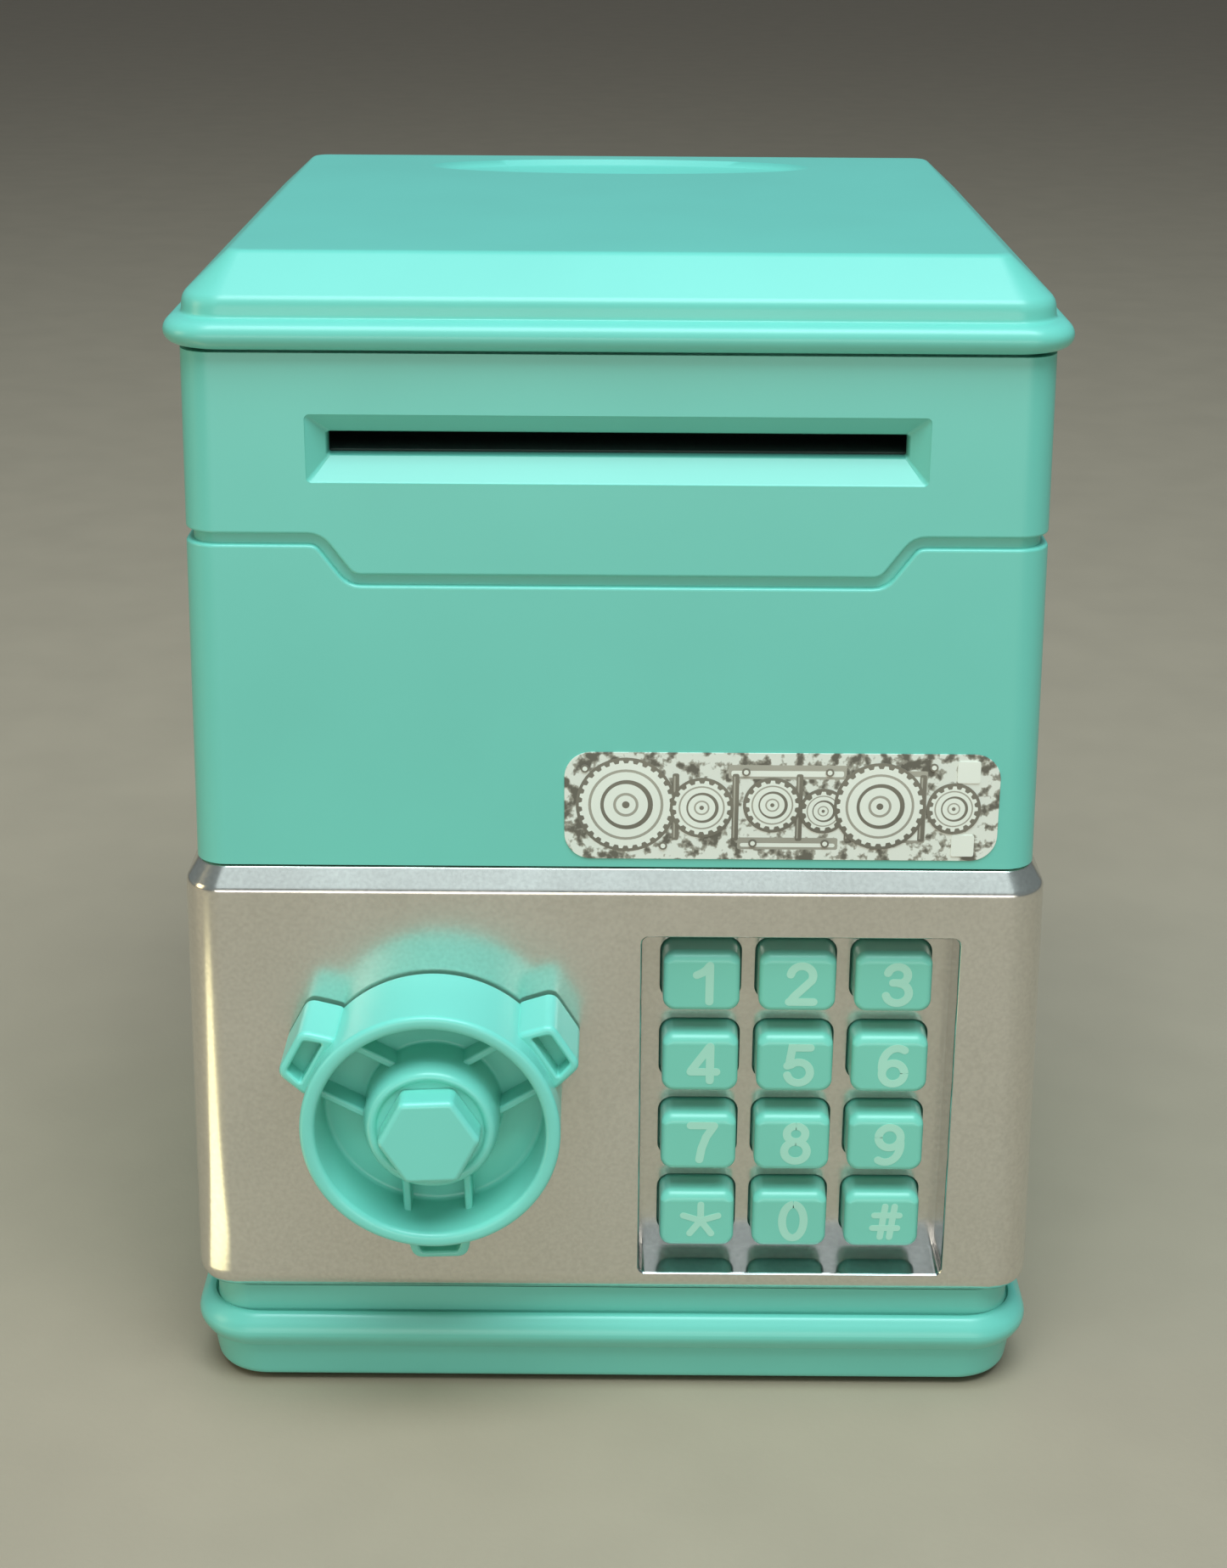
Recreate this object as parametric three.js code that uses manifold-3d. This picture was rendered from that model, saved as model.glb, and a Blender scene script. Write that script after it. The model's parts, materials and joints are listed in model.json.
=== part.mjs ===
// Toy safe coin bank: a motorised banknote feeder and a coin slot over a cash compartment that
// is closed by a hinged front door with a keypad, a lock knob and a sliding latch bolt.
// Units are millimetres. +Z is up, the door faces -Y, +X is on the right seen from the front.
// Inside this file the plan of the case is centred on x = y = 0, and the table is at RESTING_LEVEL.
// The assembly is moved at the end, so that z = 0 is the table in the part that is handed over.

import * as THREE from "three";
import { mergeVertices } from "three/addons/utils/BufferGeometryUtils.js";
import Module from "manifold-3d";

const wasm = await Module();
wasm.setup();

// ---------------------------------------------------------------- driving dimensions

// Case envelope
const DRAFT = 0.019; // growth of each half-width per mm downwards, about 1.1 degrees
const DEPTH_LESS = 1.15; // the plan is this much shallower than wide, on each side
const LID_TOP = 179.0;
const LID_BOTTOM = 166.2;
const LID_CHAMFER_FOOT = 173.0;
const LID_TOP_HALF = 55.0;
const LID_FOOT_HALF = 61.63;
const LID_BEAD_HALF = 64.2;
const LID_HOLLOW_HALF = 57.4;
const LID_RIM_HALF = 59.2;
const BODY_TOP = 165.8;
const BODY_TOP_HALF = 62.0;
const BODY_CORNER = 5.0;
const WALL = 2.2;

// Seam between the two housings: level at the sides, lower in the middle of the front
const SEAM_SIDE = 139.0;
const SEAM_MIDDLE = 133.0;
const SEAM_GROOVE = 1.6;
const SEAM_KINK_OUTER = 42.9;
const SEAM_KINK_INNER = 38.4;
const TONGUE_HEIGHT = 4.0;

// Banknote slot in the front and coin slot in the lid
const NOTE_SLOT = { halfWidth: 41.3, low: 150.9, high: 154.2, depth: 2.5 };
const NOTE_BEVEL = { halfWidth: 44.3, low: 147.3, high: 157.2 };
const COIN_SLOT = { halfLength: 25.7, halfWidth: 2.3, y: 37.5 };
const COIN_DISH = { halfLength: 33.0, halfWidth: 9.6, depth: 2.6, y: 38.6 };

// Door and doorway
const DOOR_BOTTOM = 15.9;
const DOOR_TOP = 88.5;
const DOOR_BEVEL_FOOT = 85.3;
const DOOR_TOP_HALF = 65.3;
const DOOR_CORNER = 6.2;
const DOOR_REAR = -44.0;
const DOOR_WALL = 2.2;
const SHELF_BOTTOM = 88.8;
const BULKHEAD = { front: -43.6, rear: -41.2 };
const DOORWAY = { halfWidth: 52.0, low: 20.0, high: 79.0 };
const HINGE = { x: 61.8, y: -48.8, pinRadius: 1.0, pinLength: 12.0 };
const PIN_RUNNING_CLEARANCE = 0.08;

// Keypad
const PAD = { left: 4.15, right: 52.3, low: 19.8, high: 78.0, floorY: -57.3, wall: 1.6, floor: 1.4 };
const KEY = { width: 11.8, height: 9.8, corner: 1.9, rearY: -54.8, length: 7.7, flange: 1.0, gap: 0.3 };
const KEY_PITCH_X = 14.7;
const KEY_PITCH_Z = 13.94;
const KEY_CENTRE_X = 28.1;
const KEY_TOP_ROW_Z = 69.7;
const MAT = { front: -52.2, rear: -51.2, domeRadius: 3.2, domeHeight: 1.0 };
const KEYPAD_BOARD = { front: -51.1, rear: -49.5 };
const KEY_NAMES = [
  ["key_1", "key_2", "key_3"],
  ["key_4", "key_5", "key_6"],
  ["key_7", "key_8", "key_9"],
  ["key_star", "key_0", "key_hash"],
];

// Knob, all heights measured outwards from the door's front face
const KNOB = { x: -27.3, z: 53.0, radius: 19.5, gap: 0.8, front: 15.8, floor: 5.8 };
const KNOB_INNER = 17.2;
const HUB = { radius: 10.25, shoulder: 12.0, front: 14.6, dishRadius: 8.2, dishDepth: 0.6 };
const HEX = { corner: 7.8, back: 14.1, front: 18.5, chamfer: 0.9, turn: 2.5 };
const LUG = { angles: [32, 152, 272], radius: 24.0, baseHalf: 5.6, tipHalf: 4.1, front: 11.5 };
const SPOKE = { offset: 4.7, thickness: 1.0, height: 4.1 };
const SPINDLE_RADIUS = 4.0;
const COLLAR = { radius: 8.6, front: -56.2, rear: -53.2, notchHalf: 1.6, notchFloor: 5.6 };
const CRANK = { radius: 12.5, throwRadius: 9.0, front: -46.0, rear: -43.6, restAngle: 60 };
const CRANK_PIN = { radius: 2.0, front: -45.0, rear: -38.0 };

// Base
const RESTING_LEVEL = -2.3;
const BASE_BOTTOM = -1.2;
const BASE_FOOT_HALF = 65.8;
const BASE_BEAD_HALF = 67.5;
const BASE_LEDGE = 11.2;
const BASE_NECK_HALF = 64.3;
const BASE_TOP = 15.5;
const CELL = { radius: 7.1, length: 49.2, nubRadius: 2.6, nubHeight: 1.2, pitch: 15.0, y: -4.0, z: 9.2 };
const FOOT = { radius: 6.0, height: 2.0, x: 42.0, frontY: -50.0, rearY: 55.0 };
const CASE_SCREW = { x: 58.0, rearY: 46.0, frontY: -34.0, bossRadius: 5.6, seat: 2.3, length: 20.3 };
const CASH_FLOOR = { low: 19.3, high: 20.9 };

// Banknote feeder
const NOTE_PLANE = 152.5;
const ROLLER = { radius: 5.2, width: 10.0, spread: 22.0, y: -36.0 };
const NIP_GAP = 0.6;
const GEAR = { module: 0.8, thickness: 4.0, wheelTeeth: 30, pinionTeeth: 12, x: 48.0 };
const MOTOR = { y: -26.0, radius: 10.0, length: 26.0 };

const CORNER_STEPS = 3; // straight steps in each rounded corner of a loft

// ---------------------------------------------------------------- colours and finishes

const material = (color, roughness, metalness = 0) =>
  new THREE.MeshStandardMaterial({ color, roughness, metalness });

const TEAL = material(0x6fc6af, 0.32);
const TEAL_KEY = material(0x79cab2, 0.38);
const SILVER = material(0x9d9e8e, 0.34, 0.75);
const GREY_PLASTIC = material(0x5c625f, 0.6);
const RUBBER = material(0x2c2e2f, 0.85);
const MAT_RUBBER = material(0xc9cfc8, 0.8);
const STEEL = material(0xb8babb, 0.3, 1.0);
const BOARD = material(0x2f6b42, 0.55);
const PAPER = material(0xdedbc8, 0.45);
const CELL_WRAP = material(0x3a3f46, 0.35);
const WHITE_NYLON = material(0xe6e4da, 0.5);

// ---------------------------------------------------------------- geometry helpers

// Half-width of the drafted case wall at height z.
const wallHalf = (z) => BODY_TOP_HALF + DRAFT * (BODY_TOP - z);

// Half-width of the drafted silver door at height z, below its bevel.
const doorHalf = (z) => DOOR_TOP_HALF + DRAFT * (DOOR_BEVEL_FOOT - z);

// y of the door's front face at height z.
const doorFront = (z) => DEPTH_LESS - doorHalf(z);

// One rounded-rectangle outline of a loft: z, half sizes and corner radius.
const section = (z, halfX, halfY, corner) => ({ z, halfX, halfY, corner });
const plan = (z, half, corner) => section(z, half, half - DEPTH_LESS, corner);

function sectionPoints({ z, halfX, halfY, corner }) {
  const points = [];
  for (let quarter = 0; quarter < 4; quarter++) {
    const signX = quarter === 0 || quarter === 3 ? 1 : -1;
    const signY = quarter < 2 ? 1 : -1;
    for (let step = 0; step <= CORNER_STEPS; step++) {
      const angle = ((quarter + step / CORNER_STEPS) * Math.PI) / 2;
      points.push([
        signX * (halfX - corner) + corner * Math.cos(angle),
        signY * (halfY - corner) + corner * Math.sin(angle),
        z,
      ]);
    }
  }
  return points;
}

// A closed solid lofted through sections listed from the lowest to the highest.
function loft(sections) {
  const rings = sections.map(sectionPoints);
  const count = rings[0].length;
  const positions = rings.flat(2);
  const index = [];
  for (let ring = 0; ring + 1 < rings.length; ring++) {
    for (let i = 0; i < count; i++) {
      const a = ring * count + i;
      const b = ring * count + ((i + 1) % count);
      index.push(a, b, b + count, a, b + count, a + count);
    }
  }
  const top = (rings.length - 1) * count;
  for (let i = 1; i + 1 < count; i++) {
    index.push(0, i + 1, i);
    index.push(top, top + i, top + i + 1);
  }
  const geometry = new THREE.BufferGeometry();
  geometry.setAttribute("position", new THREE.Float32BufferAttribute(positions, 3));
  geometry.setIndex(index);
  return geometry;
}

// The same section at two heights: a straight rounded block.
function block(halfX, halfY, corner, low, high) {
  return loft([section(low, halfX, halfY, corner), section(high, halfX, halfY, corner)]);
}

function box(x0, x1, y0, y1, z0, z1) {
  const geometry = new THREE.BoxGeometry(x1 - x0, y1 - y0, z1 - z0);
  return geometry.translate((x0 + x1) / 2, (y0 + y1) / 2, (z0 + z1) / 2);
}

// A solid of revolution about +Z from [radius, height] points that start and end on the axis.
function lathe(points, segments) {
  const profile = points.map(([radius, height]) => new THREE.Vector2(radius, height));
  return new THREE.LatheGeometry(profile, segments).rotateX(Math.PI / 2);
}

function rod(radius, low, high, segments = 24) {
  return lathe([[0, low], [radius, low], [radius, high], [0, high]], segments);
}

// An outline of [x, y] points pushed from z = low to z = high.
function prism(outline, low, high) {
  const shape = new THREE.Shape(outline.map(([x, y]) => new THREE.Vector2(x, y)));
  const options = { depth: high - low, bevelEnabled: false };
  return new THREE.ExtrudeGeometry(shape, options).translate(0, 0, low);
}

// Turn a shape whose outward direction is +Z to face the front, -Y, with its own +Y up.
const facingFront = (geometry) => geometry.rotateX(Math.PI / 2);

function solid(geometry) {
  const bare = geometry.clone();
  bare.deleteAttribute("normal");
  bare.deleteAttribute("uv");
  const merged = mergeVertices(bare, 1e-4);
  return new wasm.Manifold(
    new wasm.Mesh({
      numProp: 3,
      vertProperties: new Float32Array(merged.attributes.position.array),
      triVerts: new Uint32Array(merged.index.array),
    }),
  );
}

const asSolid = (item) => (item.isBufferGeometry ? solid(item) : item);
const join = (first, ...others) => others.reduce((sum, item) => sum.add(asSolid(item)), asSolid(first));
const cut = (first, ...others) =>
  others.reduce((rest, item) => rest.subtract(asSolid(item)), asSolid(first));
const common = (first, second) => asSolid(first).intersect(asSolid(second));

function asGeometry(item) {
  if (item.isBufferGeometry) return item;
  const mesh = item.getMesh();
  const geometry = new THREE.BufferGeometry();
  geometry.setAttribute("position", new THREE.BufferAttribute(new Float32Array(mesh.vertProperties), 3));
  geometry.setIndex(new THREE.BufferAttribute(new Uint32Array(mesh.triVerts), 1));
  geometry.computeVertexNormals();
  return geometry;
}

// ---------------------------------------------------------------- scene groups

const bank = new THREE.Group();
const caseGroup = new THREE.Group();
const doorGroup = new THREE.Group();
const knobGroup = new THREE.Group();
const feederGroup = new THREE.Group();
bank.add(caseGroup, feederGroup, doorGroup);
doorGroup.add(knobGroup);

function place(group, name, shape, finish, x = 0, y = 0, z = 0) {
  const mesh = new THREE.Mesh(asGeometry(shape), finish);
  mesh.name = name;
  mesh.position.set(x, y, z);
  group.add(mesh);
  return mesh;
}

// ---------------------------------------------------------------- lid

function makeLid() {
  const outer = loft([
    plan(LID_BOTTOM, 62.9, 5.9),
    plan(LID_BOTTOM + 0.7, 63.8, 6.8),
    plan(LID_BOTTOM + 2.1, LID_BEAD_HALF, 7.0),
    plan(LID_BOTTOM + 3.5, 63.7, 6.6),
    plan(LID_BOTTOM + 4.1, 62.2, 5.6),
    plan(LID_BOTTOM + 4.3, 61.75, 6.4),
    plan(LID_CHAMFER_FOOT, LID_FOOT_HALF, 6.4),
    plan(LID_TOP - 0.3, LID_TOP_HALF + 0.35, 2.2),
    plan(LID_TOP, LID_TOP_HALF, 1.9),
  ]);
  const hollow = loft([
    plan(LID_BOTTOM - 1, LID_HOLLOW_HALF, 3.0),
    plan(LID_CHAMFER_FOOT - 1.2, LID_HOLLOW_HALF, 3.0),
    plan(LID_TOP - 4.6, 52.6, 2.0),
  ]);
  const rim = cut(
    block(LID_RIM_HALF, LID_RIM_HALF - DEPTH_LESS, 2.8, LID_BOTTOM - 4.0, LID_BOTTOM + 1.0),
    block(LID_HOLLOW_HALF, LID_HOLLOW_HALF - DEPTH_LESS, 3.0, LID_BOTTOM - 5.0, LID_BOTTOM + 2.0),
  );
  const dish = new THREE.SphereGeometry(1, 28, 10)
    .rotateX(Math.PI / 2)
    .scale(COIN_DISH.halfLength, COIN_DISH.halfWidth, COIN_DISH.depth)
    .translate(0, COIN_DISH.y, LID_TOP);
  const slot = block(COIN_SLOT.halfLength, COIN_SLOT.halfWidth, 1.2, LID_TOP - 12, LID_TOP + 1)
    .translate(0, COIN_SLOT.y, 0);
  return cut(join(cut(outer, hollow), rim), dish, slot);
}

// ---------------------------------------------------------------- housings

// The part of the case below the seam line; the groove is left between two such cutters.
function belowSeam(offset) {
  const side = SEAM_SIDE + offset;
  const middle = SEAM_MIDDLE + offset;
  const notch = facingFront(
    prism(
      [
        [-SEAM_KINK_INNER, middle],
        [SEAM_KINK_INNER, middle],
        [SEAM_KINK_OUTER, side],
        [SEAM_KINK_OUTER, side + 1],
        [-SEAM_KINK_OUTER, side + 1],
        [-SEAM_KINK_OUTER, side],
      ],
      50,
      90,
    ),
  );
  return cut(box(-80, 80, -80, 80, -10, side), notch);
}

// The outside of the case between two heights, grown inwards by inset.
function caseLoft(low, high, inset) {
  const corner = Math.max(BODY_CORNER - inset, 1.0);
  return loft([plan(low, wallHalf(low) - inset, corner), plan(high, wallHalf(high) - inset, corner)]);
}

function makeUpperHousing() {
  const low = SEAM_MIDDLE - 2;
  const shell = cut(caseLoft(low, BODY_TOP, 0), caseLoft(low - 1, BODY_TOP + 1, WALL));
  const front = -(wallHalf(NOTE_PLANE) - DEPTH_LESS);
  const throat = box(
    -NOTE_BEVEL.halfWidth - 1.5,
    NOTE_BEVEL.halfWidth + 1.5,
    front + 1,
    front + 4.5,
    NOTE_BEVEL.low - 1.5,
    NOTE_BEVEL.high + 1.5,
  );
  const middleZ = (NOTE_SLOT.low + NOTE_SLOT.high) / 2;
  const bevelZ = (NOTE_BEVEL.low + NOTE_BEVEL.high) / 2;
  const slotHalf = (NOTE_SLOT.high - NOTE_SLOT.low) / 2;
  const bevelHalf = (NOTE_BEVEL.high - NOTE_BEVEL.low) / 2;
  const bevel = facingFront(
    loft([
      section(-NOTE_SLOT.depth, NOTE_SLOT.halfWidth, slotHalf, 0.3),
      section(0.4, NOTE_BEVEL.halfWidth + 0.4, bevelHalf + 0.5, 0.8),
    ]),
  ).translate(0, front, bevelZ);
  const slot = facingFront(block(NOTE_SLOT.halfWidth, slotHalf, 0.3, -9, 1)).translate(0, front, middleZ);
  const body = cut(join(shell, throat), bevel, slot);
  return cut(body, belowSeam(SEAM_GROOVE / 2));
}

function makeMainHousing() {
  const high = SEAM_SIDE + TONGUE_HEIGHT;
  const walls = common(
    cut(caseLoft(DOOR_BOTTOM, high, 0), caseLoft(DOOR_BOTTOM - 1, high + 1, WALL)),
    belowSeam(-SEAM_GROOVE / 2),
  );
  const tongue = common(
    cut(caseLoft(SEAM_MIDDLE - 8, high, WALL + 0.3), caseLoft(SEAM_MIDDLE - 9, high + 1, WALL + 1.8)),
    belowSeam(TONGUE_HEIGHT - 1),
  );
  const tongueRoot = cut(
    caseLoft(SEAM_MIDDLE - 8, SEAM_MIDDLE - 4, WALL - 0.4),
    caseLoft(SEAM_MIDDLE - 9, SEAM_MIDDLE - 3, WALL + 1.8),
  );
  const inside = caseLoft(DOOR_BOTTOM, high, 0.3);
  const shelf = common(inside, box(-70, 70, -70, BULKHEAD.rear, SHELF_BOTTOM, SHELF_BOTTOM + WALL));
  const bulkhead = cut(
    common(inside, box(-70, 70, BULKHEAD.front, BULKHEAD.rear, DOOR_BOTTOM, SHELF_BOTTOM + WALL)),
    box(-DOORWAY.halfWidth, DOORWAY.halfWidth, -50, -35, DOORWAY.low, DOORWAY.high),
  );
  const doorSpace = box(-80, 80, -80, BULKHEAD.front, -10, SHELF_BOTTOM);
  const hingeBoss = rod(3.0, SHELF_BOTTOM + 0.5, SHELF_BOTTOM + 6.5).translate(HINGE.x - 2, HINGE.y, 0);
  const holeRadius = HINGE.pinRadius + 0.1;
  const hingeHole = rod(holeRadius, SHELF_BOTTOM - 1, SHELF_BOTTOM + 5).translate(HINGE.x, HINGE.y, 0);
  let housing = join(cut(join(walls, tongue, tongueRoot), doorSpace), shelf, bulkhead);
  housing = cut(join(housing, common(inside, hingeBoss)), hingeHole);
  for (const [x, y] of caseScrewPlaces()) {
    const boss = rod(CASE_SCREW.bossRadius, DOOR_BOTTOM, DOOR_BOTTOM + 14, 16).translate(x, y, 0);
    housing = join(housing, common(inside, boss));
    housing = cut(housing, rod(1.6, DOOR_BOTTOM - 1, DOOR_BOTTOM + 10, 12).translate(x, y, 0));
  }
  return housing;
}

function caseScrewPlaces() {
  const places = [];
  for (const side of [-1, 1]) {
    places.push([side * CASE_SCREW.x, CASE_SCREW.frontY]);
    places.push([side * CASE_SCREW.x, CASE_SCREW.rearY]);
  }
  return places;
}

// ---------------------------------------------------------------- base

const WELL = { halfX: 27.0, halfY: 29.0, top: 19.0, roof: 1.2 };
const COVER = { halfX: 31.0, halfY: 33.0, thickness: 1.8 };
const COVER_SCREW_Y = CELL.y + COVER.halfY - 2.8;

function makeBase() {
  const outer = loft([
    plan(BASE_BOTTOM, BASE_FOOT_HALF - 1.4, 8.0),
    plan(BASE_BOTTOM + 1.4, BASE_FOOT_HALF - 0.1, 9.0),
    plan(5.4, BASE_FOOT_HALF, 9.0),
    plan(5.8, 66.7, 9.6),
    plan(7.0, 67.35, 10.2),
    plan(8.5, BASE_BEAD_HALF, 10.4),
    plan(10.0, 67.2, 10.2),
    plan(10.8, 66.8, 9.8),
    plan(BASE_LEDGE, 66.2, 9.6),
  ]);
  const neck = loft([plan(BASE_LEDGE - 1, BASE_NECK_HALF, 6.0), plan(BASE_TOP, BASE_NECK_HALF - 0.1, 6.0)]);
  const hollow = loft([
    plan(BASE_BOTTOM + WALL, BASE_FOOT_HALF - 3.4, 5.0),
    plan(BASE_LEDGE - 2, BASE_NECK_HALF - 2.6, 4.0),
    plan(BASE_TOP + 1, BASE_NECK_HALF - 2.6, 4.0),
  ]);
  const wellOuter = block(WELL.halfX + 1.6, WELL.halfY + 1.6, 2.0, BASE_BOTTOM + 1, WELL.top)
    .translate(0, CELL.y, 0);
  const wellInner = block(WELL.halfX, WELL.halfY, 1.0, -5, WELL.top - WELL.roof).translate(0, CELL.y, 0);
  const rebate = block(COVER.halfX + 0.3, COVER.halfY + 0.3, 3.0, -5, BASE_BOTTOM + COVER.thickness + 0.1)
    .translate(0, CELL.y, 0);
  const rebateRoof = block(COVER.halfX + 1.8, COVER.halfY + 1.8, 3.5, BASE_BOTTOM + 0.5, BASE_BOTTOM + 3.6)
    .translate(0, CELL.y, 0);
  const screwBoss = rod(3.2, BASE_BOTTOM + 2, BASE_BOTTOM + 9, 16).translate(0, COVER_SCREW_Y, 0);
  const screwHole = rod(1.3, -5, BASE_BOTTOM + 8, 12).translate(0, COVER_SCREW_Y, 0);
  let base = join(cut(join(outer, neck), hollow), wellOuter, rebateRoof, screwBoss);
  base = cut(base, wellInner, rebate, screwHole);
  for (const [x, y] of footPlaces()) {
    base = join(base, rod(FOOT.radius + 1.6, BASE_BOTTOM + 1, BASE_BOTTOM + 3.2, 16).translate(x, y, 0));
    const recessTop = RESTING_LEVEL + FOOT.height + 0.1;
    base = cut(base, rod(FOOT.radius + 0.25, -5, recessTop, 18).translate(x, y, 0));
  }
  for (const [x, y] of caseScrewPlaces()) {
    const post = rod(CASE_SCREW.bossRadius, BASE_BOTTOM + 1, BASE_TOP, 16).translate(x, y, 0);
    base = join(base, common(neckCore(), post));
    base = cut(base, rod(1.7, -5, BASE_TOP + 1, 12).translate(x, y, 0));
    base = cut(base, rod(3.4, -5, BASE_BOTTOM + 4, 16).translate(x, y, 0));
  }
  for (let slot = -3; slot <= 3; slot++) {
    const length = 9 - Math.abs(slot);
    const x = SPEAKER.x + slot * 3;
    base = cut(base, box(x - 0.6, x + 0.6, SPEAKER.y - length, SPEAKER.y + length, -5, BASE_BOTTOM + 3));
  }
  return cut(base, rod(HINGE.pinRadius + 0.1, BASE_TOP - 6, BASE_TOP + 1).translate(HINGE.x, HINGE.y, 0));
}

function neckCore() {
  return loft([plan(BASE_BOTTOM, BASE_NECK_HALF - 1, 5), plan(BASE_TOP, BASE_NECK_HALF - 1, 5)]);
}

function footPlaces() {
  const places = [];
  for (const y of [FOOT.frontY, FOOT.rearY]) {
    for (const x of [-FOOT.x, FOOT.x]) places.push([x, y]);
  }
  return places;
}

function makeBatteryCover() {
  const plate = block(COVER.halfX, COVER.halfY, 2.8, BASE_BOTTOM, BASE_BOTTOM + COVER.thickness);
  const grip = [];
  for (let rib = -2; rib <= 2; rib++) {
    const y = rib * 1.6 - COVER.halfY + 8;
    grip.push(box(-7, 7, y, y + 0.7, -5, BASE_BOTTOM + 0.5));
  }
  const screwY = COVER_SCREW_Y - CELL.y;
  const hole = rod(1.4, -5, BASE_BOTTOM + 5, 12).translate(0, screwY, 0);
  const counterbore = rod(2.6, -5, BASE_BOTTOM + 1.25, 16).translate(0, screwY, 0);
  return cut(plate, hole, counterbore, ...grip);
}

// A screw along +Z: its pan head at the bottom, its pointed shank above.
function makeScrew(headRadius, headHeight, shankRadius, length) {
  const profile = [
    [0, 0],
    [headRadius * 0.8, 0],
    [headRadius, headHeight * 0.5],
    [headRadius, headHeight],
    [shankRadius, headHeight],
    [shankRadius, length - 1],
    [0, length],
  ];
  return lathe(profile, 12);
}

// ---------------------------------------------------------------- door

const SPEAKER = { x: -46.0, y: 6.0, radius: 13.0 };

// Everything inside the door's outer surface.
function doorOuter() {
  return loft([
    plan(DOOR_BOTTOM, doorHalf(DOOR_BOTTOM) - 2.0, DOOR_CORNER - 1),
    plan(DOOR_BOTTOM + 0.9, doorHalf(DOOR_BOTTOM) - 0.7, DOOR_CORNER),
    plan(DOOR_BOTTOM + 2.6, doorHalf(DOOR_BOTTOM + 2.6), DOOR_CORNER),
    plan(DOOR_BEVEL_FOOT, DOOR_TOP_HALF, DOOR_CORNER),
    plan(DOOR_TOP, DOOR_TOP_HALF - 2.0, DOOR_CORNER - 1),
  ]);
}

function makeDoorShell() {
  const inFront = box(-80, 80, -80, DOOR_REAR, 0, 100);
  const outer = common(doorOuter(), inFront);
  const innerTop = DOOR_BEVEL_FOOT - 0.6;
  const hollow = loft([
    plan(DOOR_BOTTOM + DOOR_WALL, doorHalf(DOOR_BOTTOM) - DOOR_WALL - 0.2, DOOR_CORNER - DOOR_WALL),
    plan(innerTop, doorHalf(innerTop) - DOOR_WALL, DOOR_CORNER - DOOR_WALL),
  ]);
  const stile = common(outer, box(HINGE.x - 4.8, 80, HINGE.y - 4.2, DOOR_REAR, 0, 100));
  const panBack = PAD.floorY + PAD.floor;
  const pan = common(
    outer,
    box(PAD.left - PAD.wall, PAD.right + PAD.wall, -80, panBack, PAD.low - PAD.wall, PAD.high + PAD.wall),
  );
  const padHalfX = (PAD.right - PAD.left) / 2;
  const padHalfZ = (PAD.high - PAD.low) / 2;
  const padCentreX = (PAD.right + PAD.left) / 2;
  const padCentreZ = (PAD.high + PAD.low) / 2;
  const recess = facingFront(
    loft([
      section(0, padHalfX - 0.2, padHalfZ - 0.2, 1.0),
      section(13.4, padHalfX + 0.1, padHalfZ + 0.1, 1.2),
    ]),
  ).translate(padCentreX, PAD.floorY, padCentreZ);
  const bearing = facingFront(rod(6.5, -7.5, -1, 20)).translate(KNOB.x, doorFront(KNOB.z), KNOB.z);
  const spindleHole = facingFront(rod(SPINDLE_RADIUS + 0.12, -12, 5, 24)).translate(
    KNOB.x,
    doorFront(KNOB.z),
    KNOB.z,
  );
  let shell = cut(join(cut(outer, hollow), stile, pan, bearing), recess, spindleHole);
  const holeX = KEY.width / 2 + KEY.gap;
  const holeZ = KEY.height / 2 + KEY.gap;
  for (const { x, z } of keyPlaces()) {
    const hole = facingFront(block(holeX, holeZ, KEY.corner + 0.2, -PAD.floor - 1, 1));
    shell = cut(shell, hole.translate(x, PAD.floorY, z));
  }
  const knuckle = HINGE.y - DOOR_REAR;
  const roundOff = cut(
    box(HINGE.x, 80, HINGE.y, DOOR_REAR + 5, 0, 100),
    rod(Math.abs(knuckle), -5, 105, 40).translate(HINGE.x, HINGE.y, 0),
  );
  const pinHole = HINGE.pinRadius + PIN_RUNNING_CLEARANCE;
  const lowerHole = rod(pinHole, DOOR_BOTTOM - 5, DOOR_BOTTOM + 7).translate(HINGE.x, HINGE.y, 0);
  const upperHole = rod(pinHole, DOOR_TOP - 7, DOOR_TOP + 5).translate(HINGE.x, HINGE.y, 0);
  return cut(shell, roundOff, lowerHole, upperHole);
}

function keyPlaces() {
  return KEY_NAMES.flatMap((row, rowIndex) =>
    row.map((name, column) => ({
      name,
      x: KEY_CENTRE_X + (column - 1) * KEY_PITCH_X,
      z: KEY_TOP_ROW_Z - rowIndex * KEY_PITCH_Z,
    })),
  );
}

function makeKey() {
  const halfX = KEY.width / 2;
  const halfZ = KEY.height / 2;
  const cap = loft([
    section(0.9, halfX + 0.05, halfZ + 0.05, KEY.corner),
    section(KEY.length - 0.9, halfX - 0.05, halfZ - 0.05, KEY.corner),
    section(KEY.length, halfX - 0.9, halfZ - 0.9, KEY.corner - 0.6),
  ]);
  const flange = block(halfX + 0.85, halfZ + 0.9, 2.0, 0, KEY.flange);
  return facingFront(asGeometry(join(cap, flange)));
}

const BACK = { plateFront: -46.2, plateRear: -44.2, plugRear: -41.0, halfX: 62.2 };
const PLUG = { halfX: 49.5, low: 22.0, high: 77.0, wall: 2.0 };
const BOLT = { left: -50.4, right: -16.0, low: 54.0, high: 68.0, front: -40.7, rear: -38.5 };
const RAIL = { rear: -36.6, lipFront: -38.2, gap: 0.4, thickness: 2.0, overlap: 1.6 };

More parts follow.
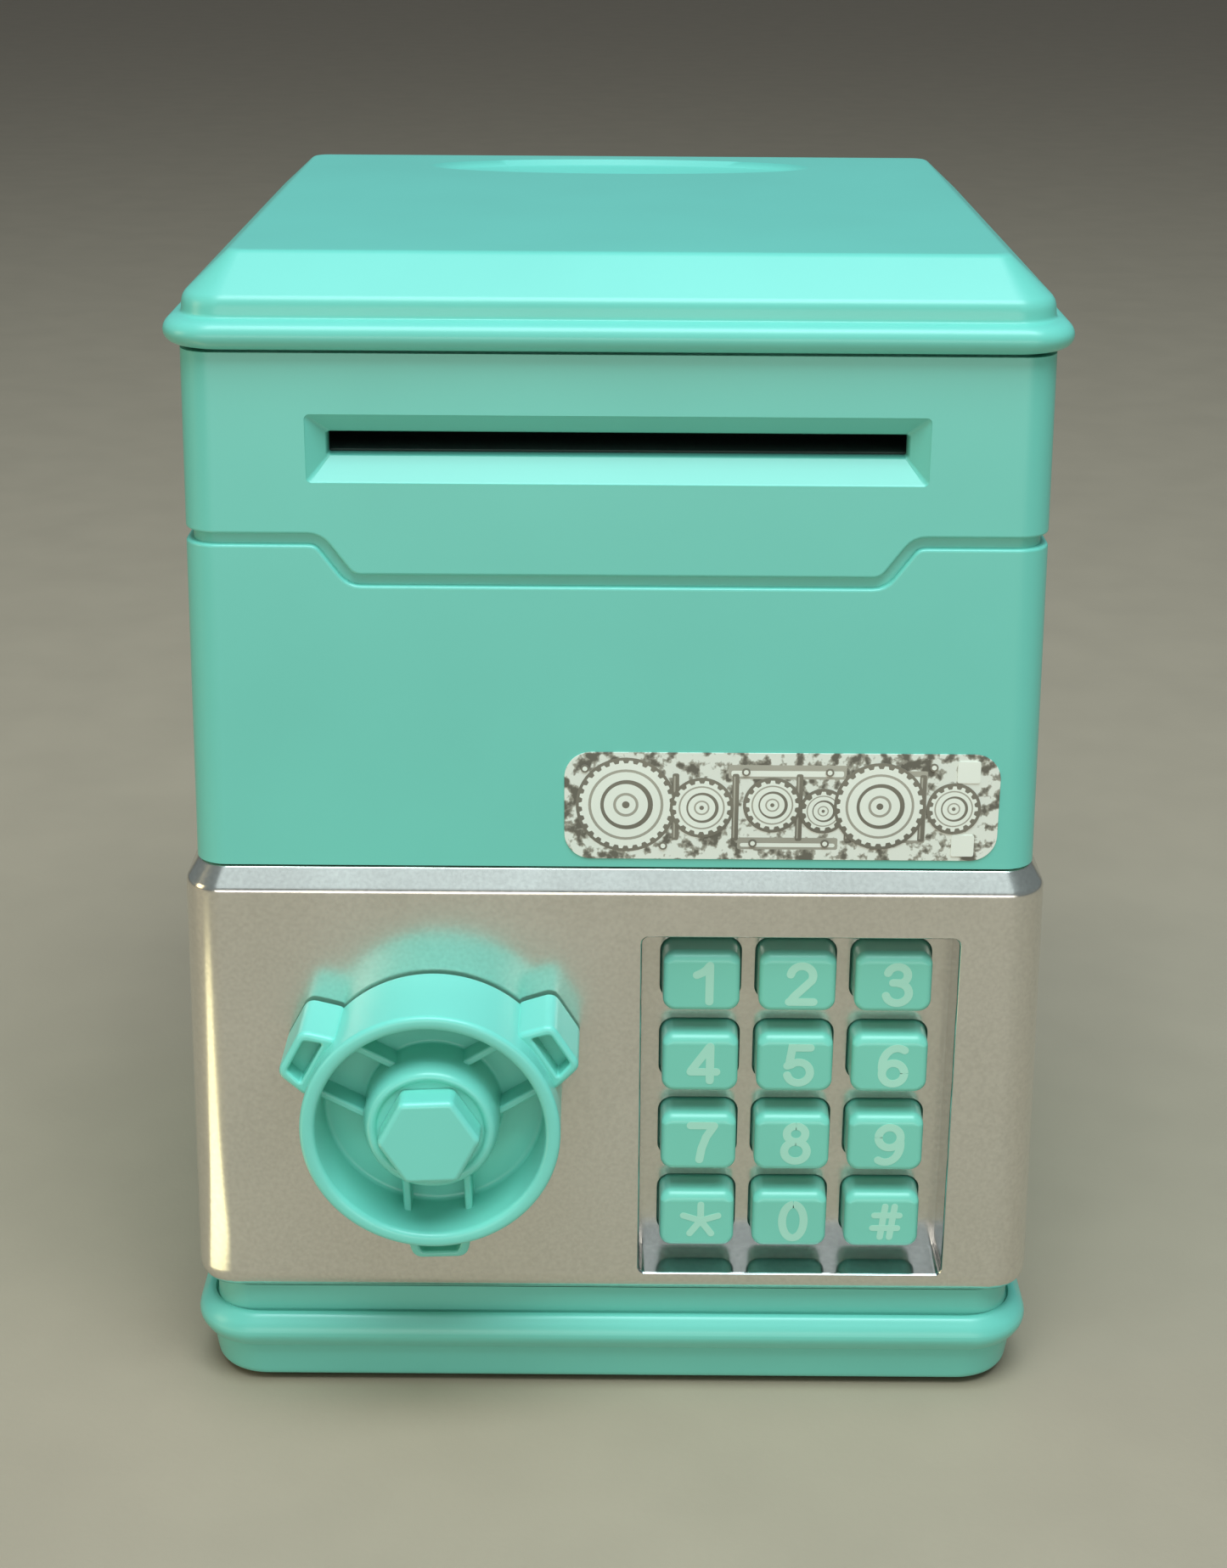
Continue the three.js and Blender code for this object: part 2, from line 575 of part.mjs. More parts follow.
// The plate behind the door, its plug that enters the doorway, and the two rails of the bolt.
function makeDoorBack() {
  const low = DOOR_BOTTOM + DOOR_WALL + 0.4;
  const high = DOOR_BEVEL_FOOT - 1.2;
  const plate = box(-BACK.halfX, HINGE.x - 5.2, BACK.plateFront, BACK.plateRear, low, high);
  const plug = box(-PLUG.halfX, PLUG.halfX, BACK.plateFront, BACK.plugRear, PLUG.low, PLUG.high);
  const hollow = box(
    -PLUG.halfX + PLUG.wall,
    PLUG.halfX - PLUG.wall,
    BACK.plateFront - 10,
    BACK.plugRear - PLUG.wall,
    PLUG.low + PLUG.wall,
    PLUG.high - PLUG.wall,
  );
  const crankTop = KNOB.z + CRANK.throwRadius;
  const window = box(KNOB.x - 8, KNOB.x + 8, -60, -30, crankTop - 4.5, crankTop + 2.8);
  const rails = [];
  for (const side of [-1, 1]) {
    const inner = (side < 0 ? BOLT.low : BOLT.high) + side * RAIL.gap;
    const outer = inner + side * RAIL.thickness;
    const lip = inner - side * (RAIL.overlap + RAIL.gap);
    rails.push(rail(BACK.plugRear - 0.5, inner, outer));
    rails.push(rail(RAIL.lipFront, lip, outer));
  }
  return cut(join(plate, plug, ...rails), hollow, window);
}

function rail(front, z0, z1) {
  return box(BOLT.left + 2, BOLT.right, front, RAIL.rear, Math.min(z0, z1), Math.max(z0, z1));
}

// ---------------------------------------------------------------- knob and latch

function makeKnobWheel() {
  const bowl = lathe(
    [
      [0, KNOB.gap],
      [KNOB.radius - 0.3, KNOB.gap],
      [KNOB.radius, KNOB.front - 0.6],
      [KNOB.radius - 0.5, KNOB.front],
      [KNOB_INNER + 0.4, KNOB.front],
      [KNOB_INNER, KNOB.front - 0.4],
      [KNOB_INNER - 0.4, KNOB.floor],
      [HUB.radius + 0.1, KNOB.floor],
      [HUB.radius, HUB.shoulder],
      [HUB.radius - 0.3, HUB.front - 0.9],
      [HUB.radius - 1.0, HUB.front],
      [HUB.dishRadius + 0.3, HUB.front],
      [HUB.dishRadius, HUB.front - HUB.dishDepth],
      [0, HUB.front - HUB.dishDepth],
    ],
    36,
  );
  let wheel = solid(bowl);
  for (const degrees of LUG.angles) {
    const angle = THREE.MathUtils.degToRad(degrees);
    const lug = prism(
      [
        [KNOB_INNER + 1, -LUG.baseHalf],
        [LUG.radius - 0.8, -LUG.tipHalf],
        [LUG.radius, -LUG.tipHalf + 1],
        [LUG.radius, LUG.tipHalf - 1],
        [LUG.radius - 0.8, LUG.tipHalf],
        [KNOB_INNER + 1, LUG.baseHalf],
      ],
      KNOB.gap,
      LUG.front,
    ).rotateZ(angle);
    const pocket = prism(
      [
        [KNOB.radius + 0.6, -LUG.baseHalf + 1.9],
        [LUG.radius - 1.3, -LUG.tipHalf + 1.2],
        [LUG.radius - 1.3, LUG.tipHalf - 1.2],
        [KNOB.radius + 0.6, LUG.baseHalf - 1.9],
      ],
      LUG.front - 3.2,
      LUG.front + 1,
    ).rotateZ(angle);
    wheel = cut(join(wheel, lug), pocket);
    for (const side of [-1, 1]) {
      const y = side * SPOKE.offset;
      const rib = box(
        Math.sqrt(HUB.radius ** 2 - y ** 2) - 0.5,
        Math.sqrt(KNOB_INNER ** 2 - y ** 2) + 0.3,
        y - SPOKE.thickness / 2,
        y + SPOKE.thickness / 2,
        KNOB.floor - 0.5,
        KNOB.floor + SPOKE.height,
      ).rotateZ(angle);
      wheel = join(wheel, rib);
    }
  }
  const socket = rod(SPINDLE_RADIUS + 0.1, -1, KNOB.floor + 3, 24);
  const capHole = rod(2.6, 0, HUB.front + 1, 12);
  return facingFront(asGeometry(cut(wheel, socket, capHole)));
}

function makeHexCap() {
  const head = new THREE.CylinderGeometry(HEX.corner, HEX.corner, HEX.front - HEX.back, 6)
    .rotateX(Math.PI / 2)
    .rotateZ(Math.PI / 2 + THREE.MathUtils.degToRad(HEX.turn))
    .translate(0, 0, (HEX.front + HEX.back) / 2);
  const dome = lathe(
    [
      [0, HEX.back - 1],
      [HEX.corner + 1, HEX.back - 1],
      [HEX.corner + 1, HEX.front - HEX.chamfer - 0.9],
      [HEX.corner - HEX.chamfer - 0.5, HEX.front],
      [0, HEX.front],
    ],
    24,
  );
  const stem = rod(2.4, KNOB.floor + 4, HEX.back + 0.5, 12);
  return facingFront(asGeometry(join(common(head, dome), stem)));
}

// Spindle from the knob's socket back through the door, with the lock collar and the crank.
function makeSpindle() {
  const depth = -doorFront(KNOB.z);
  const level = (y) => -y - depth; // height outwards from the door's front face for a given y
  const shaft = rod(SPINDLE_RADIUS, level(CRANK.rear), KNOB.floor + 2.6, 24);
  const notch = box(
    -COLLAR.notchHalf,
    COLLAR.notchHalf,
    COLLAR.notchFloor,
    COLLAR.radius + 1,
    level(COLLAR.rear) - 1,
    level(COLLAR.front) + 1,
  );
  const collar = cut(rod(COLLAR.radius, level(COLLAR.rear), level(COLLAR.front), 24), notch);
  const crank = rod(CRANK.radius, level(CRANK.rear), level(CRANK.front), 28);
  const angle = THREE.MathUtils.degToRad(CRANK.restAngle);
  const pin = rod(CRANK_PIN.radius, level(CRANK_PIN.rear), level(CRANK_PIN.front), 16).translate(
    CRANK.throwRadius * Math.cos(angle),
    CRANK.throwRadius * Math.sin(angle),
    0,
  );
  return facingFront(asGeometry(join(shaft, collar, crank, pin)));
}

function makeLatchBolt() {
  const plate = box(BOLT.left + 4, BOLT.right, BOLT.front, BOLT.rear, BOLT.low, BOLT.high);
  const nose = prism(
    [
      [BOLT.left, BOLT.front],
      [BOLT.left + 5, BOLT.front],
      [BOLT.left + 5, BOLT.rear],
      [BOLT.left + 1.6, BOLT.rear],
      [BOLT.left, BOLT.rear - 1.2],
    ],
    BOLT.low,
    BOLT.high,
  );
  const angle = THREE.MathUtils.degToRad(CRANK.restAngle);
  const pinX = KNOB.x + CRANK.throwRadius * Math.cos(angle);
  const slotHalf = CRANK_PIN.radius + 0.5;
  const slotLow = KNOB.z + CRANK.throwRadius * Math.sin(angle) - CRANK_PIN.radius - 0.7;
  const slotHigh = KNOB.z + CRANK.throwRadius + CRANK_PIN.radius + 0.6;
  const slot = box(pinX - slotHalf, pinX + slotHalf, -45, -35, slotLow, slotHigh);
  return cut(join(plate, nose), slot);
}

const SOLENOID = { y: -54.7, low: 70.2, high: 82.6 };
const PLUNGER = { nose: 62.3, flangeLow: 63.6, flangeHigh: 64.5 };
const SPRING = { wire: 0.3, radius: 2.8, turns: 4 };

function makeSolenoid() {
  const frame = box(-6.5, 6.5, -5.0, 5.0, SOLENOID.low, SOLENOID.high);
  const ears = box(-9.5, 9.5, -5.0, -3.6, SOLENOID.low + 2, SOLENOID.high - 2);
  return cut(join(frame, ears), rod(2.12, SOLENOID.low - 1, SOLENOID.high - 1.5, 14));
}

function makePlunger() {
  return lathe(
    [
      [0, PLUNGER.nose],
      [1.2, PLUNGER.nose],
      [1.5, PLUNGER.nose + 0.4],
      [1.5, PLUNGER.flangeLow],
      [3.6, PLUNGER.flangeLow],
      [3.6, PLUNGER.flangeHigh],
      [2.0, PLUNGER.flangeHigh],
      [2.0, SOLENOID.high - 5.5],
      [0, SOLENOID.high - 5.5],
    ],
    14,
  );
}

// A compression spring as a round wire wound on a helix between two heights.
class Helix extends THREE.Curve {
  constructor(radius, low, high, turns) {
    super();
    this.radius = radius;
    this.low = low;
    this.high = high;
    this.turns = turns;
  }
  getPoint(t, target = new THREE.Vector3()) {
    const angle = t * this.turns * 2 * Math.PI;
    const z = this.low + t * (this.high - this.low);
    return target.set(this.radius * Math.cos(angle), this.radius * Math.sin(angle), z);
  }
}

function makePlungerSpring() {
  const end = SPRING.wire + 0.1;
  const path = new Helix(SPRING.radius, PLUNGER.flangeHigh + end, SOLENOID.low - end, SPRING.turns);
  const circle = new THREE.Shape().absarc(0, 0, SPRING.wire, 0, 2 * Math.PI);
  const options = { steps: 40, extrudePath: path, curveSegments: 2, bevelEnabled: false };
  return new THREE.ExtrudeGeometry(circle, options);
}

function makeKeypadMat() {
  let mat = solid(box(PAD.left + 1, PAD.right - 1, MAT.front, MAT.rear, PAD.low + 1, PAD.high - 1));
  for (const { x, z } of keyPlaces()) {
    mat = join(mat, facingFront(rod(MAT.domeRadius, -0.2, MAT.domeHeight, 8)).translate(x, MAT.front, z));
  }
  return mat;
}

// ---------------------------------------------------------------- feeder

const FEED_Z = NOTE_PLANE - NIP_GAP / 2 - ROLLER.radius;
const PINCH_Z = NOTE_PLANE + NIP_GAP / 2 + ROLLER.radius;
const GEAR_CENTRES = (GEAR.module * (GEAR.wheelTeeth + GEAR.pinionTeeth)) / 2;
const MOTOR_Z = FEED_Z - Math.sqrt(GEAR_CENTRES ** 2 - (MOTOR.y - ROLLER.y) ** 2);

// A spur gear about +Z with straight-sided teeth and generous backlash, tooth 0 centred on phase.
function gear(teeth, bore, phase) {
  const pitchRadius = (GEAR.module * teeth) / 2;
  const tip = pitchRadius + 0.85 * GEAR.module;
  const root = pitchRadius - 1.3 * GEAR.module;
  const outline = [];
  const flanks = [
    [root, -0.31],
    [pitchRadius, -0.21],
    [tip, -0.1],
    [tip, 0.1],
    [pitchRadius, 0.21],
    [root, 0.31],
  ];
  for (let tooth = 0; tooth < teeth; tooth++) {
    for (const [radius, part] of flanks) {
      const angle = phase + ((tooth + part) / teeth) * 2 * Math.PI;
      outline.push([radius * Math.cos(angle), radius * Math.sin(angle)]);
    }
  }
  return cut(prism(outline, -GEAR.thickness / 2, GEAR.thickness / 2), rod(bore, -10, 10, 12));
}

// Gears lie along +X; the mesh direction is the angle from the wheel's centre to the pinion's.
function makeGearPair() {
  const alongMesh = Math.atan2(MOTOR_Z - FEED_Z, MOTOR.y - ROLLER.y);
  const halfTooth = Math.PI / GEAR.pinionTeeth;
  const wheel = gear(GEAR.wheelTeeth, 1.6, alongMesh);
  const pinion = gear(GEAR.pinionTeeth, 1.05, alongMesh + Math.PI + halfTooth);
  return [wheel, pinion].map(standAlongX);
}

// Local x, y, z become the case's y, z, x: an even permutation, so nothing is mirrored.
function standAlongX(shape) {
  const geometry = asGeometry(shape);
  const turn = new THREE.Matrix4().set(0, 0, 1, 0, 1, 0, 0, 0, 0, 1, 0, 0, 0, 0, 0, 1);
  return geometry.applyMatrix4(turn);
}

function makeRoller() {
  const tyre = cut(rod(ROLLER.radius, -ROLLER.width / 2, ROLLER.width / 2, 20), rod(1.6, -10, 10, 12));
  return standAlongX(tyre);
}

const CHEEK = { inner: 43.2, outer: 45.0, front: -56.5, rear: -13.0 };

function makeFeederChassis() {
  const { front, rear } = CHEEK;
  const top = BODY_TOP - 4.5;
  const span = CHEEK.outer - 0.8;
  const plate = box(-span, span, front + 0.5, -27.0, NOTE_PLANE - 2.9, NOTE_PLANE - 1.4);
  const leftCheek = box(-CHEEK.outer, -CHEEK.inner, front, rear, NOTE_PLANE - 14, top);
  const rightCheek = box(CHEEK.inner, CHEEK.outer, front, rear, MOTOR_Z - 12, top);
  const tie = box(-span, span, rear - 3, rear - 0.5, BODY_TOP - 7.5, BODY_TOP - 5.0);
  const frontTie = box(-span, span, front + 0.5, front + 3, BODY_TOP - 7.5, BODY_TOP - 5.0);
  let chassis = join(plate, leftCheek, rightCheek, tie, frontTie);
  for (const side of [-1, 1]) {
    const x = side * ROLLER.spread;
    const half = ROLLER.width / 2 + 1;
    chassis = cut(chassis, box(x - half, x + half, ROLLER.y - 6, ROLLER.y + 6, NOTE_PLANE - 5, NOTE_PLANE));
  }
  for (const z of [FEED_Z, PINCH_Z]) {
    chassis = cut(chassis, standAlongX(rod(1.62, -60, 60, 12)).translate(0, ROLLER.y, z));
  }
  return cut(chassis, standAlongX(rod(3.4, 40, 60, 12)).translate(0, MOTOR.y, MOTOR_Z));
}

function makeMotor() {
  const can = rod(MOTOR.radius, 0, MOTOR.length, 20);
  const nose = rod(3.0, MOTOR.length - 1, MOTOR.length + 2.0, 12);
  const shaft = rod(1.0, MOTOR.length, MOTOR.length + 8.0, 8);
  const flats = box(-20, 20, -7.7, 7.7, -1, MOTOR.length + 10);
  return standAlongX(asGeometry(common(join(can, nose, shaft), flats)));
}

// ---------------------------------------------------------------- assembly

place(caseGroup, "top_lid", makeLid(), TEAL);
place(caseGroup, "upper_housing", makeUpperHousing(), TEAL);
place(caseGroup, "main_housing", makeMainHousing(), TEAL);
place(caseGroup, "base", makeBase(), TEAL);
place(caseGroup, "battery_cover", makeBatteryCover(), TEAL, 0, CELL.y, 0);
const coverScrew = makeScrew(2.2, 1.1, 1.1, 8);
place(caseGroup, "battery_cover_screw", coverScrew, STEEL, 0, COVER_SCREW_Y, BASE_BOTTOM + 0.05);

const cashFloor = cut(
  block(58.5, 58.5 - DEPTH_LESS, 3.0, CASH_FLOOR.low, CASH_FLOOR.high),
  box(-70, 70, -70, BULKHEAD.rear + 0.6, 0, 40),
  ...caseScrewPlaces().map(([x, y]) => rod(CASE_SCREW.bossRadius + 0.5, 0, 40).translate(x, y, 0)),
);
place(caseGroup, "cash_floor", cashFloor, GREY_PLASTIC);

const footProfile = [
  [0, 0],
  [FOOT.radius - 0.5, 0],
  [FOOT.radius, 0.5],
  [FOOT.radius, FOOT.height],
  [0, FOOT.height],
];
const footNames = ["front_left", "front_right", "rear_left", "rear_right"];
footPlaces().forEach(([x, y], i) =>
  place(caseGroup, "rubber_foot_" + footNames[i], lathe(footProfile, 18), RUBBER, x, y, RESTING_LEVEL),
);

const screwNames = ["front_left", "rear_left", "front_right", "rear_right"];
caseScrewPlaces().forEach(([x, y], i) => {
  const screw = makeScrew(2.9, 1.6, 1.4, CASE_SCREW.length);
  place(caseGroup, "case_screw_" + screwNames[i], screw, STEEL, x, y, BASE_BOTTOM + CASE_SCREW.seat);
});

const LABEL = { x: 24.75, z: 98.65, halfX: 32.35, halfZ: 8.45, corner: 4.0, thickness: 0.2 };
const label = place(
  caseGroup,
  "mechanism_label",
  facingFront(block(LABEL.halfX, LABEL.halfZ, LABEL.corner, 0.06, 0.06 + LABEL.thickness)),
  PAPER,
  LABEL.x,
  DEPTH_LESS - wallHalf(LABEL.z),
  LABEL.z,
);
label.rotation.x = -Math.atan(DRAFT);

place(caseGroup, "speaker", makeSpeaker(), GREY_PLASTIC, SPEAKER.x, SPEAKER.y, BASE_BOTTOM + WALL + 0.2);
place(caseGroup, "main_board", box(34, 60, -24, 30, 8.0, 9.6), BOARD);

function makeSpeaker() {
  return lathe(
    [[0, 0], [SPEAKER.radius, 0], [SPEAKER.radius, 1.2], [8, 4.2], [6.5, 4.4], [6.5, 8], [0, 8]],
    20,
  );
}

// The outer cells point back and the middle one forward.
for (let i = 0; i < 3; i++) {
  const end = CELL.length / 2;
  const profile = [
    [0, -end],
    [CELL.radius, -end],
    [CELL.radius, end],
    [CELL.nubRadius, end],
    [CELL.nubRadius, end + CELL.nubHeight],
    [0, end + CELL.nubHeight],
  ];
  const cell = lathe(profile, 16).rotateX(i === 1 ? Math.PI / 2 : -Math.PI / 2);
  place(caseGroup, "battery_" + (i + 1), cell, CELL_WRAP, (i - 1) * CELL.pitch, CELL.y, CELL.z);
}

const pinShape = rod(HINGE.pinRadius, 0, HINGE.pinLength, 16);
place(caseGroup, "hinge_pin_lower", pinShape, STEEL, HINGE.x, HINGE.y, BASE_TOP - 5.8);
place(caseGroup, "hinge_pin_upper", pinShape, STEEL, HINGE.x, HINGE.y, DOOR_TOP - 6.8);

place(doorGroup, "door_shell", makeDoorShell(), SILVER);
place(doorGroup, "door_back_cover", makeDoorBack(), TEAL);
place(doorGroup, "keypad_mat", makeKeypadMat(), MAT_RUBBER);
const keypadBoard = box(PAD.left, PAD.right, KEYPAD_BOARD.front, KEYPAD_BOARD.rear, PAD.low, PAD.high);
place(doorGroup, "keypad_board", keypadBoard, BOARD);
place(doorGroup, "lock_solenoid", makeSolenoid(), STEEL, KNOB.x, SOLENOID.y, 0);
place(doorGroup, "solenoid_plunger", makePlunger(), STEEL, KNOB.x, SOLENOID.y, 0);
place(doorGroup, "plunger_spring", makePlungerSpring(), STEEL, KNOB.x, SOLENOID.y, 0);
place(doorGroup, "latch_bolt", makeLatchBolt(), WHITE_NYLON);
for (const { name, x, z } of keyPlaces()) {
  place(doorGroup, name, makeKey(), TEAL_KEY, x, KEY.rearY, z);
}

knobGroup.position.set(KNOB.x, doorFront(KNOB.z), KNOB.z);
place(knobGroup, "knob_wheel", makeKnobWheel(), TEAL);
place(knobGroup, "knob_hex_cap", makeHexCap(), TEAL);
place(knobGroup, "knob_spindle", makeSpindle(), WHITE_NYLON);

const [wheelGear, pinionGear] = makeGearPair();
place(feederGroup, "feeder_chassis", makeFeederChassis(), GREY_PLASTIC);
place(feederGroup, "feed_motor", makeMotor(), STEEL, CHEEK.inner - MOTOR.length - 0.2, MOTOR.y, MOTOR_Z);
place(feederGroup, "motor_pinion", pinionGear, WHITE_NYLON, GEAR.x, MOTOR.y, MOTOR_Z);
place(feederGroup, "feed_gear", wheelGear, WHITE_NYLON, GEAR.x, ROLLER.y, FEED_Z);
for (const [name, z, tail] of [["feed", FEED_Z, 5.2], ["pinch", PINCH_Z, 1.0]]) {
  const shaft = standAlongX(rod(1.5, -CHEEK.outer - 1.0, CHEEK.outer + tail, 12));
  place(feederGroup, name + "_shaft", shaft, STEEL, 0, ROLLER.y, z);
  place(feederGroup, name + "_roller_left", makeRoller(), RUBBER, -ROLLER.spread, ROLLER.y, z);
  place(feederGroup, name + "_roller_right", makeRoller(), RUBBER, ROLLER.spread, ROLLER.y, z);
}

// The origin is the bottom centre of the whole bounding box, knob and base bead included.
const frontExtent = -doorFront(KNOB.z) + HEX.front;
const rearExtent = BASE_BEAD_HALF - DEPTH_LESS;
bank.position.set(0, (frontExtent - rearExtent) / 2, -RESTING_LEVEL);

export default bank;
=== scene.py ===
"""Looks of a toy safe coin bank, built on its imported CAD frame. Runs inside Blender 4.5.

Shapes are written in millimetres in the frame of the case: x to the right, y to the back, z up,
with the plan of the case centred on x = y = 0 and the table at RESTING_LEVEL. place() moves them
into the row frame, which is in metres and has the table at z = 0.
"""

import json
import math

import bmesh
import bpy
from mathutils import Matrix, Vector


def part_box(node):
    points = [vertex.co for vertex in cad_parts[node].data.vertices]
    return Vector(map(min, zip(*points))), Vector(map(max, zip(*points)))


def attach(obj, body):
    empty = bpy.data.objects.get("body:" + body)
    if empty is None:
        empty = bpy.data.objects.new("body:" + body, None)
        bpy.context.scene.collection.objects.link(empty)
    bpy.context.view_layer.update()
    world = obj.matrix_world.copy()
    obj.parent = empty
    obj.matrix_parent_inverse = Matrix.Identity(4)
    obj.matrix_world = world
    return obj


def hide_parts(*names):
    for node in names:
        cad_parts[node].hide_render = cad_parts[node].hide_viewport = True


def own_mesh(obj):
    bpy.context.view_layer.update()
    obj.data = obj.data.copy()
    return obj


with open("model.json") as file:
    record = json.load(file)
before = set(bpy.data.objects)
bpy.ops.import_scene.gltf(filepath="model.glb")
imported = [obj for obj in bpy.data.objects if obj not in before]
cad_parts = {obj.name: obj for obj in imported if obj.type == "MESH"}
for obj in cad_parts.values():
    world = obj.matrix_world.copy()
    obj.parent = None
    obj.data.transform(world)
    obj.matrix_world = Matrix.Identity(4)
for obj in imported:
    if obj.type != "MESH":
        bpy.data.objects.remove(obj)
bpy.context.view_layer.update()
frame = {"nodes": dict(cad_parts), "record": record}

MM = 0.001
RESTING_LEVEL = -2.3
BASE_LOW, BASE_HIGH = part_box("base")
CASE_ORIGIN = Vector((0.0, (BASE_LOW.y + BASE_HIGH.y) / 2, -RESTING_LEVEL * MM))
TO_ROW = Matrix.Translation(CASE_ORIGIN) @ Matrix.Scale(MM, 4)

# ---------------------------------------- sizes, in millimetres

DRAFT = 0.019  # how far a wall leans in per millimetre of height
DEPTH_LESS = 1.15  # the half-depth of the case is less than its half-width by this
CORNER_STEPS = 12
WALL = 2.2
OVERLAP = 0.05  # keeps two joined shapes from sharing a face
FAR = 80  # past the case's sides
ABOVE = 100  # past the top of the door and the shelf over it

# lid
LID_TOP = 179.0
LID_BEAD_HALF, LID_BEAD_Z = 62.15, 168.35
LID_BEAD_RADIUS = 2.08
LID_BOTTOM = 162.2
LID_INNER_HALF = 57.4
SPIGOT_HALF = 59.2
DISH_Y = 38.6
DISH_HALF_X, DISH_HALF_Y = 33.0, 9.6
COIN_SLOT_Y = 37.5
COIN_SLOT_HALF_X, COIN_SLOT_HALF_Y = 25.7, 2.3

# case walls and their stepped seam
BODY_TOP = 165.8
BODY_TOP_HALF = 62.0
BODY_CORNER = 5.0
SEAM_SIDE = 139.0
SEAM_MIDDLE = 133.0
SEAM_GAP = 0.8
SEAM_DEPTH = 1.1
SEAM_EDGE = 0.45
TONGUE_RISE = 2.6
TONGUE_GAP = 0.8

# banknote slot
NOTE_HALF = 41.3
NOTE_LOW, NOTE_HIGH = 150.9, 154.2
NOTE_RIM_HALF = 44.3
NOTE_RIM_LOW, NOTE_RIM_HIGH = 147.3, 157.2
NOTE_BACKING = 1.5

# door and doorway
DOOR_BOTTOM = 15.9
DOOR_TOP = 88.5
DOOR_BEVEL_FOOT = 85.3
DOOR_TOP_HALF = 65.3
DOOR_CORNER = 6.2
DOOR_REAR = -44.0
DOOR_WALL = 2.2
SHELF_BOTTOM = 88.8
BULKHEAD_FRONT = -43.6
BULKHEAD_REAR = -41.2
BULKHEAD_HALF = 63.2
DOORWAY_Z = 49.5
DOORWAY_HALF_X, DOORWAY_HALF_Z = 52.0, 29.5
HINGE = (61.8, -48.8)
HINGE_BOSS = 3.0
HINGE_PIN_HOLE = 1.08
HINGE_PIN_SPANS = ((10.9, 22.9), (81.5, 93.5))

# keypad
PAD_LEFT, PAD_RIGHT = 4.15, 52.3
PAD_LOW, PAD_HIGH = 19.8, 78.0
PAD_FLOOR_Y = -57.3
PAD_FLOOR = 1.4
PAD_WALL = 1.6
KEY_HALF_X, KEY_HALF_Z = 5.9, 4.9
KEY_CORNER = 1.9
KEY_FRONT_Y = -62.5
KEY_REAR_Y = -54.8
KEY_GAP = 0.3
KEY_PITCH_X, KEY_PITCH_Z = 14.7, 13.94
KEY_CENTRE_X, KEY_TOP_Z = 28.1, 69.7
SYMBOL_SHIFT_X, SYMBOL_SHIFT_Z = 0.6, -0.2
KEY_ROWS = (("1", "2", "3"), ("4", "5", "6"), ("7", "8", "9"), ("star", "0", "hash"))

# knob, with its gap, fronts and floor measured out from the front of the door
KNOB_X, KNOB_Z = -27.3, 53.0
KNOB_RADIUS = 19.5
KNOB_INNER = 17.2
KNOB_GAP = 0.4
KNOB_FRONT = 15.8
KNOB_FLOOR = 5.8
HUB_RADIUS = 10.25
HUB_FRONT = 14.6
HUB_DISH = 13.9
HEX_CORNER = 7.8
HEX_FRONT = 18.5
HEX_TURN = 2.5
LUG_ANGLES = (32, 152, 272)
LUG_FRONT = 11.5
SPOKE_HEIGHT = 4.1
SPOKE_OFFSET = 4.7
SPINDLE_RADIUS = 4.0
BEARING_RADIUS = 6.5

# base
BASE_BOTTOM = -1.2
BASE_LEDGE = 11.25
BASE_TOP = 15.5
BASE_NECK_HALF = 64.3
BASE_INNER_HALF = 61.7
WELL_Y = -4
WELL_HALF_X, WELL_HALF_Y = 27.0, 29.0
WELL_TOP = 19.0
WELL_WALL = 1.6
REBATE_HALF_X, REBATE_HALF_Y = 31.3, 33.3
REBATE_WALL = 1.5
COVER_SCREW_Y = 26.2
FOOT_RADIUS = 6.0
FOOT_PLACES = ((-42, -50), (42, -50), (-42, 55), (42, 55))
CASE_SCREW_PLACES = ((-58, -34), (-58, 46), (58, -34), (58, 46))
SCREW_BOSS = 5.6

# sticker
LABEL_X, LABEL_Z = 24.75, 98.65
LABEL_HALF_X, LABEL_HALF_Z = 32.35, 8.45
LABEL_CORNER = 4.0


def wall_half(z):
    """Half-width of the drafted case wall at height z."""
    return BODY_TOP_HALF + DRAFT * (BODY_TOP - z)


def door_half(z):
    """Half-width of the drafted silver door at height z, below its bevel."""
    return DOOR_TOP_HALF + DRAFT * (DOOR_BEVEL_FOOT - z)


def wall_front(z):
    return DEPTH_LESS - wall_half(z)


def door_front(z):
    return DEPTH_LESS - door_half(z)


# ---------------------------------------- outlines and profiles

NEARLY_HALF = 0.48


def toward(origin, target, reach):
    """The point at most reach away from origin on the way to target, and never past its middle."""
    length = math.dist(origin, target)
    share = min(reach / length, NEARLY_HALF) if length else 0.0
    return tuple(a + (b - a) * share for a, b in zip(origin, target))


def corner_curve(before, corner, after, reach, steps):
    """A quadratic curve that rounds one corner of a polyline."""
    controls = list(zip(toward(corner, before, reach), corner, toward(corner, after, reach)))
    points = []
    for step in range(steps + 1):
        t = step / steps
        weights = ((1 - t) ** 2, 2 * t * (1 - t), t * t)
        points.append(tuple(sum(w * v for w, v in zip(weights, values)) for values in controls))
    return points


def soften(points, reach, steps=4):
    """An open polyline with its inner corners rounded. reach is a number, or one per point."""
    reaches = reach if isinstance(reach, (list, tuple)) else [reach] * len(points)
    rounded = [points[0]]
    for i in range(1, len(points) - 1):
        if reaches[i]:
            rounded += corner_curve(points[i - 1], points[i], points[i + 1], reaches[i], steps)
        else:
            rounded.append(points[i])
    rounded.append(points[-1])
    return rounded


def soften_loop(points, reach, steps):
    """A closed outline with all its corners rounded."""
    rounded = []
    for i, corner in enumerate(points):
        rounded += corner_curve(points[i - 1], corner, points[(i + 1) % len(points)], reach, steps)
    return rounded


